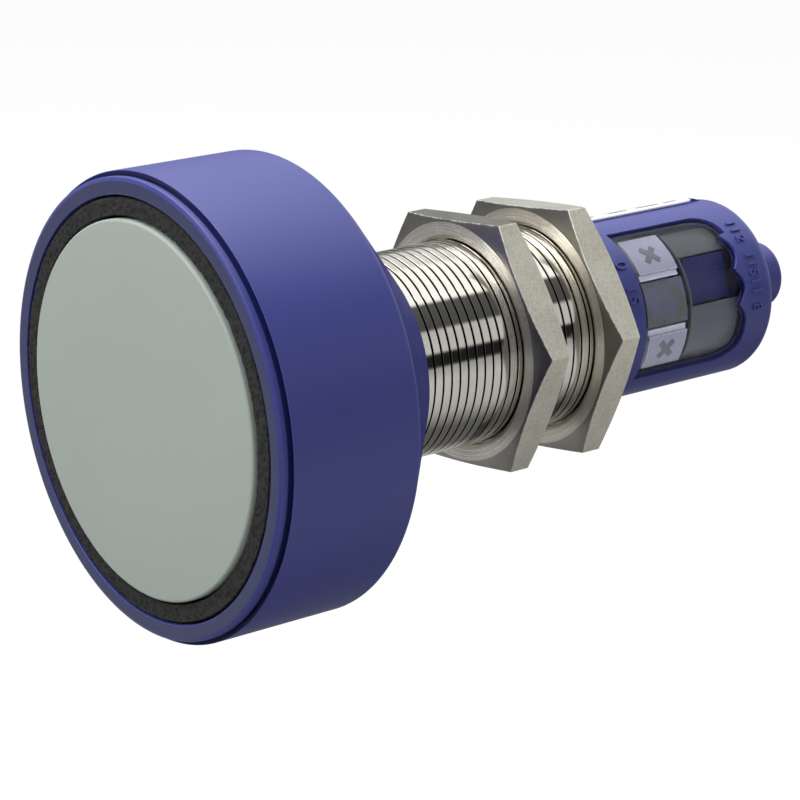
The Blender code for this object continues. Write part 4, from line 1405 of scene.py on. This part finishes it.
    def build_label(self) -> None:
        """The white label strip, folded over its raised pad, with plain grey bars."""
        start, end = self.label_angles
        front, rear = self.label_ends
        stations = []
        steps = 60
        for index in range(steps + 1):
            angle = start + (end - start) * index / steps
            reach = math.radians(min(angle - start, end - angle)) * self.radius
            drop = max(self.label_corner - reach, 0.0)
            cut = self.label_corner - math.sqrt(self.label_corner**2 - drop**2)
            stations.append((angle, front, rear - cut))
        base = self.radius + 0.02 * MM
        top = self.radius + self.pad_height + self.label_thickness
        label = tile("label_strip", stations, base, top, self.finishes.label, 0.0)
        soften(label, 0.22 * MM, segments=3, angle=50.0)
        seat(label, SENSOR_BODY)
        bars = []
        for row in range(5):
            angle = 100.0 + 9.0 * row
            for column in range(4 - row % 2):
                y = front + (4.0 + 5.6 * column) * MM
                length = (2.6 + (row + column) % 3) * MM
                bars.append(
                    tile(
                        "label_bar",
                        even_stations(angle - 1.6, angle + 1.6, y, y + length),
                        top - 0.01 * MM,
                        top + 0.02 * MM,
                        self.finishes.ink,
                        0.0,
                    )
                )
        self.join("label_bars", bars, self.finishes.ink)


@dataclass
class WindowAssembly:
    """Clear cover, two keys, light guide and display field under the window."""

    finishes: Finishes
    outline: WindowOutline
    cover_inner: float = 12.4 * MM
    cover_outer: float = 13.1 * MM
    key_outer: float = 12.1 * MM
    key_thickness: float = 0.9 * MM
    key_front: float = 82.0 * MM
    key_length: float = 7.5 * MM
    shelf_angle: float = 4.0
    shelf_drop: float = 0.5 * MM
    guide_drop: float = 0.6 * MM
    guide_thickness: float = 0.6 * MM
    guide_length: float = 8.0 * MM
    stem_radius: float = 1.0 * MM
    stem_play: float = 0.02 * MM
    cross_size: float = 1.25 * MM
    cross_width: float = 1.0 * MM
    upper_key: tuple[float, float] = (19.8, 50.3)
    lower_key: tuple[float, float] = (-24.6, -50.6)
    stem_angle: float = 29.7
    leg_spread: float = 2.1 * MM
    leg_half: float = 0.8 * MM
    plate_outer: float = 11.7 * MM
    plate_thickness: float = 0.6 * MM
    plate_length: float = 9.6 * MM
    plate_half_angle: float = 51.0
    display_middle: float = 1.7 * MM
    display_half: float = 3.4 * MM

    def build(self) -> None:
        """Build and dress the cover, the keys and the fields beside them."""
        self.build_cover()
        self.build_key("key_1", "first_key", Side.UPPER, self.upper_key, 33.75)
        self.build_key("key_2", "second_key", Side.LOWER, self.lower_key, -36.75)
        self.build_guide()
        self.build_surround()

    def build_cover(self) -> bpy.types.Object:
        """The clear cover, which follows the window's outline."""
        stations = self.outline.stations(SEAT_GAP)
        cover = tile(
            "clear_window", stations, self.cover_inner, self.cover_outer, self.finishes.clear
        )
        soften(cover, 0.1 * MM, segments=2, angle=50.0)

        def on_edge(polygon: bpy.types.MeshPolygon) -> bool:
            """Whether a face lies on the cover's edge."""
            outwards = Vector((polygon.center.x, 0.0, polygon.center.z)).normalized()
            return abs(polygon.normal.dot(outwards)) < 0.5

        # The cover's edge faces are painted dark: shade of the window's walls.
        redress(cover, self.finishes.rim, on_edge)
        return seat(cover, SENSOR_BODY, ["window_cover"])

    def build_key(
        self, node: str, body: str, side: Side, angles: tuple[float, float], cross: float
    ) -> bpy.types.Object:
        """One frosted key: tile, lower shelf on its inner side, stem and raised cross.

        Args:
            node: The solid that it replaces.
            body: The body that it rides on.
            side: The side of the window's middle.
            angles: Inner and outer edge from the window's middle.
            cross: Angle of the cross from the window's middle.

        Returns:
            The key.
        """
        inner = self.key_outer - self.key_thickness
        rear = self.key_front + self.key_length
        tile_stations = even_stations(angles[0], angles[1], self.key_front, rear)
        key = tile(f"{node}_tile", tile_stations, inner, self.key_outer, self.finishes.frosted)
        reach = side.value * self.shelf_angle
        shelf_stations = even_stations(
            angles[0] - reach, angles[0] + reach, self.key_front, rear
        )
        shelf = tile(f"{node}_ledge", shelf_stations, inner, self.key_outer - self.shelf_drop, None)
        combine(key, shelf, "UNION")
        low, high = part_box(node)
        turn = Matrix.Rotation(math.radians(WINDOW_TURN), 4, "Y")
        points = [turn @ v.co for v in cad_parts[node].data.vertices]
        spread = side.value * self.key_outer * math.sin(math.radians(self.stem_angle))
        middle = self.key_front + self.key_length / 2
        foot = self.stem_play + min(
            point.x
            for point in points
            if math.hypot(point.y - middle, point.z - spread) < 1.05 * self.stem_radius
        )
        combine(key, self.stem(node, spread, foot), "UNION")
        soften(key, 0.1 * MM, segments=2, angle=40.0)
        level = self.key_outer - self.shelf_drop

        def on_ledge(polygon: bpy.types.MeshPolygon) -> bool:
            """Whether a face lies on top of the key's lower ledge."""
            return abs(math.hypot(polygon.center.x, polygon.center.z) - level) < 0.06 * MM

        # The ledge's top gets the lighter copy: painted light.
        redress(key, self.finishes.ledge, on_ledge)
        seat(key, body, [node])
        self.build_cross(node, body, cross, self.key_front + self.key_length / 2)
        return key

    def stem(self, node: str, spread: float, foot: float) -> bpy.types.Object:
        """The round stem of a key, from inside its curved tile down to its switch."""
        bm = bmesh.new()
        bmesh.ops.create_cone(
            bm, cap_ends=True, segments=32, radius1=self.stem_radius, radius2=self.stem_radius,
            depth=1.0,
        )
        turn = Matrix.Rotation(-math.radians(WINDOW_TURN), 4, "Y")
        middle = self.key_front + self.key_length / 2
        reach = self.key_outer - self.key_thickness / 2
        for vert in bm.verts:
            across, along, height = vert.co
            level = foot if height < 0 else math.sqrt(reach**2 - (spread + across) ** 2)
            vert.co = turn @ Vector((level, middle + along, spread + across))
        return to_object(f"{node}_stem", bm, None)

    def build_cross(self, node: str, body: str, angle: float, y: float) -> bpy.types.Object:
        """The dark cross on a key, two bars that follow its surface."""
        bm = bmesh.new()
        steps = 8
        for lean, top in ((1.0, 0.06), (-1.0, 0.07)):
            rings = []
            for index in range(steps + 1):
                share = 2.0 * index / steps - 1.0
                across = share * self.cross_size
                rim = []
                for offset, height in ((-1, -0.02), (1, -0.02), (1, top), (-1, top)):
                    shift = offset * self.cross_width / 2
                    u = across + lean * shift * 0.7
                    v = lean * across - shift * 0.7
                    turn = angle + WINDOW_TURN + math.degrees(u / self.key_outer)
                    rim.append(bm.verts.new(on_cylinder(self.key_outer + height * MM, turn, y + v)))
                rings.append(rim)
            bridge(bm, rings)
            bm.faces.new(rings[0])
            bm.faces.new(rings[-1])
        cross = to_object(f"{node}_cross", bm, self.finishes.mark)
        cross.data.shade_flat()
        return seat(cross, body)

    def build_guide(self) -> bpy.types.Object:
        """The recessed light guide between the keys, with its two legs."""
        top = self.key_outer - self.guide_drop
        gap = math.degrees(SEAT_GAP / top)
        start = self.lower_key[0] + self.shelf_angle + gap
        end = self.upper_key[0] - self.shelf_angle - gap
        rear = self.key_front + self.guide_length
        stations = even_stations(start, end, self.key_front, rear)
        inner = top - self.guide_thickness
        guide = tile("guide_tile", stations, inner, top, self.finishes.guide)
        middle = top * math.sin(math.radians((start + end) / 2))
        y = self.key_front + self.guide_length / 2
        turn = Matrix.Rotation(math.radians(WINDOW_TURN), 4, "Y")
        foot = min((turn @ v.co).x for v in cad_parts["light_guide"].data.vertices)
        for side in Side:
            across = middle + side.value * self.leg_spread
            leg = block(
                f"leg_{side.name.lower()}",
                (foot, y - self.leg_half, across - self.leg_half),
                (top - self.guide_thickness / 2, y + self.leg_half, across + self.leg_half),
                None,
            )
            combine(guide, leg, "UNION")
        soften(guide, 0.1 * MM, segments=2, angle=40.0)
        return seat(guide, SENSOR_BODY, ["light_guide"])

    def build_surround(self) -> bpy.types.Object:
        """The grey translucent plate round the dark display."""
        front = self.key_front + self.guide_length + 2 * SEAT_GAP
        rear = front + self.plate_length
        plate = tile(
            "surround_plate",
            even_stations(-self.plate_half_angle, self.plate_half_angle, front, rear),
            self.plate_outer - self.plate_thickness,
            self.plate_outer,
            self.finishes.surround,
        )
        low = self.display_middle - self.display_half - SEAT_GAP
        high = self.display_middle + self.display_half + SEAT_GAP
        hole = block(
            "display_hole", (6.0 * MM, front + SEAT_GAP, low), (14.0 * MM, rear + SEAT_GAP, high), None
        )
        combine(plate, hole, "DIFFERENCE")
        soften(plate, 0.08 * MM, segments=2, angle=40.0)
        return seat(plate, SENSOR_BODY, ["display_surround"])


@dataclass
class Internals:
    """Finishes of the solids that keep their own shape."""

    finishes: Finishes

    def build(self) -> None:
        """Give each kept solid its finish."""
        f = self.finishes
        groups: tuple[tuple[bpy.types.Material, tuple[str, ...]], ...] = (
            (f.display, ("status_display",)),
            (f.foam, ("backing_foam",)),
            (f.ceramic, ("piezo_disc",)),
            (f.rubber, ("head_seal", "rear_seal")),
            (f.board, ("main_board", "key_board")),
            (f.wire, ("transducer_lead_1", "transducer_lead_2")),
            (
                f.component,
                (
                    "transformer", "controller_chip", "driver_chip", "temperature_sensor",
                    "capacitor_1", "capacitor_2", "key_switch_1", "key_switch_2", "board_link",
                    "contact_insert",
                ),
            ),
            (f.frosted, ("indicator_led_1", "indicator_led_2")),
            (f.gold, tuple(f"contact_pin_{number}" for number in range(1, 6))),
        )
        for material, names in groups:
            for name in names:
                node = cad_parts[name]
                node.data.materials.clear()
                node.data.materials.append(material)
                log.info("%s keeps its shape and is dressed in %s", name, material.name)


@dataclass
class Studio:
    """Camera, lamps, world and floor."""

    camera_place: tuple[float, float, float] = (0.31943, -0.20724, 0.12030)
    camera_direction: tuple[float, float, float] = (-0.7495, 0.5909, -0.2984)
    lens: float = 133.41
    sensor: float = 36.0
    floor_level: float = -0.10
    floor_size: float = 3.0
    floor_glow: float = 0.85
    world_strength: float = 1.5
    bands: tuple[tuple[float, float], ...] = (
        (-180.0, 0.08), (-120.0, 0.12), (-64.0, 0.38), (-58.0, 0.62),
        (-6.0, 0.66), (-1.5, 0.015), (12.0, 0.015), (14.0, 0.72), (36.5, 0.68), (39.5, 0.09),
        (67.5, 0.12), (71.0, 1.42), (118.0, 1.45), (127.0, 1.0), (142.0, 1.0), (158.0, 0.85),
        (168.0, 0.20), (180.0, 0.08),
    )
    surroundings: tuple[tuple[float, float], ...] = (
        (-180.0, 0.12), (-10.0, 0.50), (15.0, 0.50), (40.0, 0.65), (60.0, 0.75), (80.0, 0.85),
        (110.0, 0.95), (125.0, 1.10), (150.0, 1.10), (165.0, 0.60), (180.0, 0.12),
    )
    front: tuple[tuple[float, float], ...] = (
        (-180.0, 0.22), (-170.0, 0.50), (-158.0, 0.85), (-90.0, 0.30), (0.0, 0.12), (60.0, 0.25),
        (110.0, 0.40), (150.0, 0.20), (180.0, 0.22),
    )
    band_reach: tuple[tuple[float, float], ...] = (
        (0.28, 0.0), (0.36, 1.0), (0.82, 1.0), (0.90, 0.0),
    )
    front_reach: tuple[tuple[float, float], ...] = ((-0.5, 1.0), (-0.1, 0.0))
    # Darker under the sensor along X: a painted shadow.
    floor_shadow_tones: tuple[tuple[float, float], ...] = (
        (-0.20, 0.35), (-0.08, 0.30), (-0.03, 0.10), (0.03, 0.12), (0.08, 0.40), (0.15, 0.50),
        (0.30, 0.60),
    )

    def build(self) -> None:
        """Set up the studio."""
        self.build_camera()
        self.build_world()
        self.build_floor()
        self.build_lamp("key_lamp", (-0.21, 0.02, 0.58), 0.5, 3.4)
        self.build_lamp("front_lamp", (-0.07, -0.52, 0.46), 0.4, 2.8)
        scene = bpy.context.scene
        scene.view_settings.view_transform = "Standard"
        log.info("studio ready, lens %.1f mm", self.lens)

    def build_camera(self) -> None:
        """The camera at the photograph's place and angle."""
        data = bpy.data.cameras.new("view_camera")
        data.lens = self.lens
        data.sensor_width = self.sensor
        data.clip_start = 0.01
        camera = linked("view_camera", data)
        camera.location = self.camera_place
        camera.rotation_mode = "QUATERNION"
        camera.rotation_quaternion = Vector(self.camera_direction).to_track_quat("-Z", "Y")
        bpy.context.scene.camera = camera

    def build_world(self) -> None:
        """White to the camera and through glass; light banks and dark flags for the rest."""
        world = bpy.data.worlds.new("studio_world")
        bpy.context.scene.world = world
        world.use_nodes = True
        w = Wiring(world.node_tree)
        world.node_tree.nodes.clear()
        direction = w.add("TexCoord").outputs["Generated"]
        parts = w.add("SeparateXYZ", Vector=direction)
        turn = w.math("ARCTAN2", parts.outputs["Z"], parts.outputs["X"])
        place = w.math("MULTIPLY_ADD", turn, 0.5 / math.pi, 0.5)
        peak = self.world_strength
        banks, around, before = (
            w.ramp(place, [((angle + 180.0) / 360.0, level / peak) for angle, level in levels])
            for levels in (self.bands, self.surroundings, self.front)
        )
        along = w.math("MULTIPLY_ADD", parts.outputs["Y"], 0.5, 0.5)
        near, ahead = (
            w.ramp(along, [((y + 1.0) / 2.0, share) for y, share in reach])
            for reach in (self.band_reach, self.front_reach)
        )
        light = w.blend(ahead, w.blend(near, around, banks), before)
        surround = w.add("Background", Color=light, Strength=peak)
        white = w.add("Background", Color=(1.0, 1.0, 1.0), Strength=1.0)
        w.add("OutputWorld", Surface=self.for_view(w, surround.outputs[0], white.outputs[0]))

    @staticmethod
    def for_view(
        w: Wiring, lit: bpy.types.NodeSocket, white: bpy.types.NodeSocket
    ) -> bpy.types.NodeSocket:
        """White for what the camera sees, directly or through glass, else what lights."""
        path = w.add("LightPath")
        seen = w.math("MAXIMUM", path.outputs["Is Camera Ray"], path.outputs["Is Transmission Ray"])
        return w.fill(w.add("MixShader"), seen, lit, white)

    def build_floor(self) -> None:
        """A pale floor that shows white and keeps the sensor's shadow; to other rays it has a dark strip
        under the sensor, a painted shadow.
        """
        bm = bmesh.new()
        bmesh.ops.create_grid(bm, x_segments=1, y_segments=1, size=self.floor_size / 2)
        material = bpy.data.materials.new("studio_floor")
        material.use_nodes = True
        w = Wiring(material.node_tree)
        material.node_tree.nodes.clear()
        parts = w.add("SeparateXYZ", Vector=w.place())
        place = w.math("ADD", parts.outputs["X"], 0.5)
        # A painted shadow: darker under the sensor along X, seen in reflections and bounced light.
        shadow_tones = w.ramp(place, [(x + 0.5, tone) for x, tone in self.floor_shadow_tones])
        pale = w.add("BsdfDiffuse", Color=shadow_tones)
        bright = w.add("BsdfDiffuse", Color=(0.9, 0.9, 0.9))
        glow = w.add("Emission", Color=(1.0, 1.0, 1.0), Strength=1.0)
        shown = w.fill(w.add("MixShader"), self.floor_glow, bright.outputs[0], glow.outputs[0])
        w.add("OutputMaterial", Surface=self.for_view(w, pale.outputs[0], shown))
        floor = to_object("studio_floor", bm, material)
        for vert in floor.data.vertices:
            vert.co.z = self.floor_level

    def build_lamp(
        self, name: str, place: tuple[float, float, float], size: float, power: float
    ) -> None:
        """A square soft lamp that looks at the sensor's middle."""
        data = bpy.data.lights.new(name, "AREA")
        data.size = size
        data.energy = power
        lamp = linked(name, data)
        lamp.location = place
        middle = Vector((0.0, 0.05, 0.0))
        lamp.rotation_mode = "QUATERNION"
        lamp.rotation_quaternion = (middle - lamp.location).to_track_quat("-Z", "Y")


def main() -> None:
    """Build the studio and every sub-assembly in turn."""
    logging.basicConfig(level=logging.INFO, format="%(name)s: %(message)s")
    Studio().build()
    finishes = Finishes()
    window = WindowOutline(front=80.0 * MM)
    HeadAssembly(finishes).build()
    ThreadedSleeve(finishes).build()
    LockNut(finishes, "front_nut", "front_lock_nut", 5.2, NickelSurface.DULL).build()
    LockNut(finishes, "rear_nut", "rear_lock_nut", 6.5, NickelSurface.SATIN).build()
    RearHousing(finishes, window).build()
    WindowAssembly(finishes, window).build()
    Internals(finishes).build()


if __name__ == "__main__":
    main()
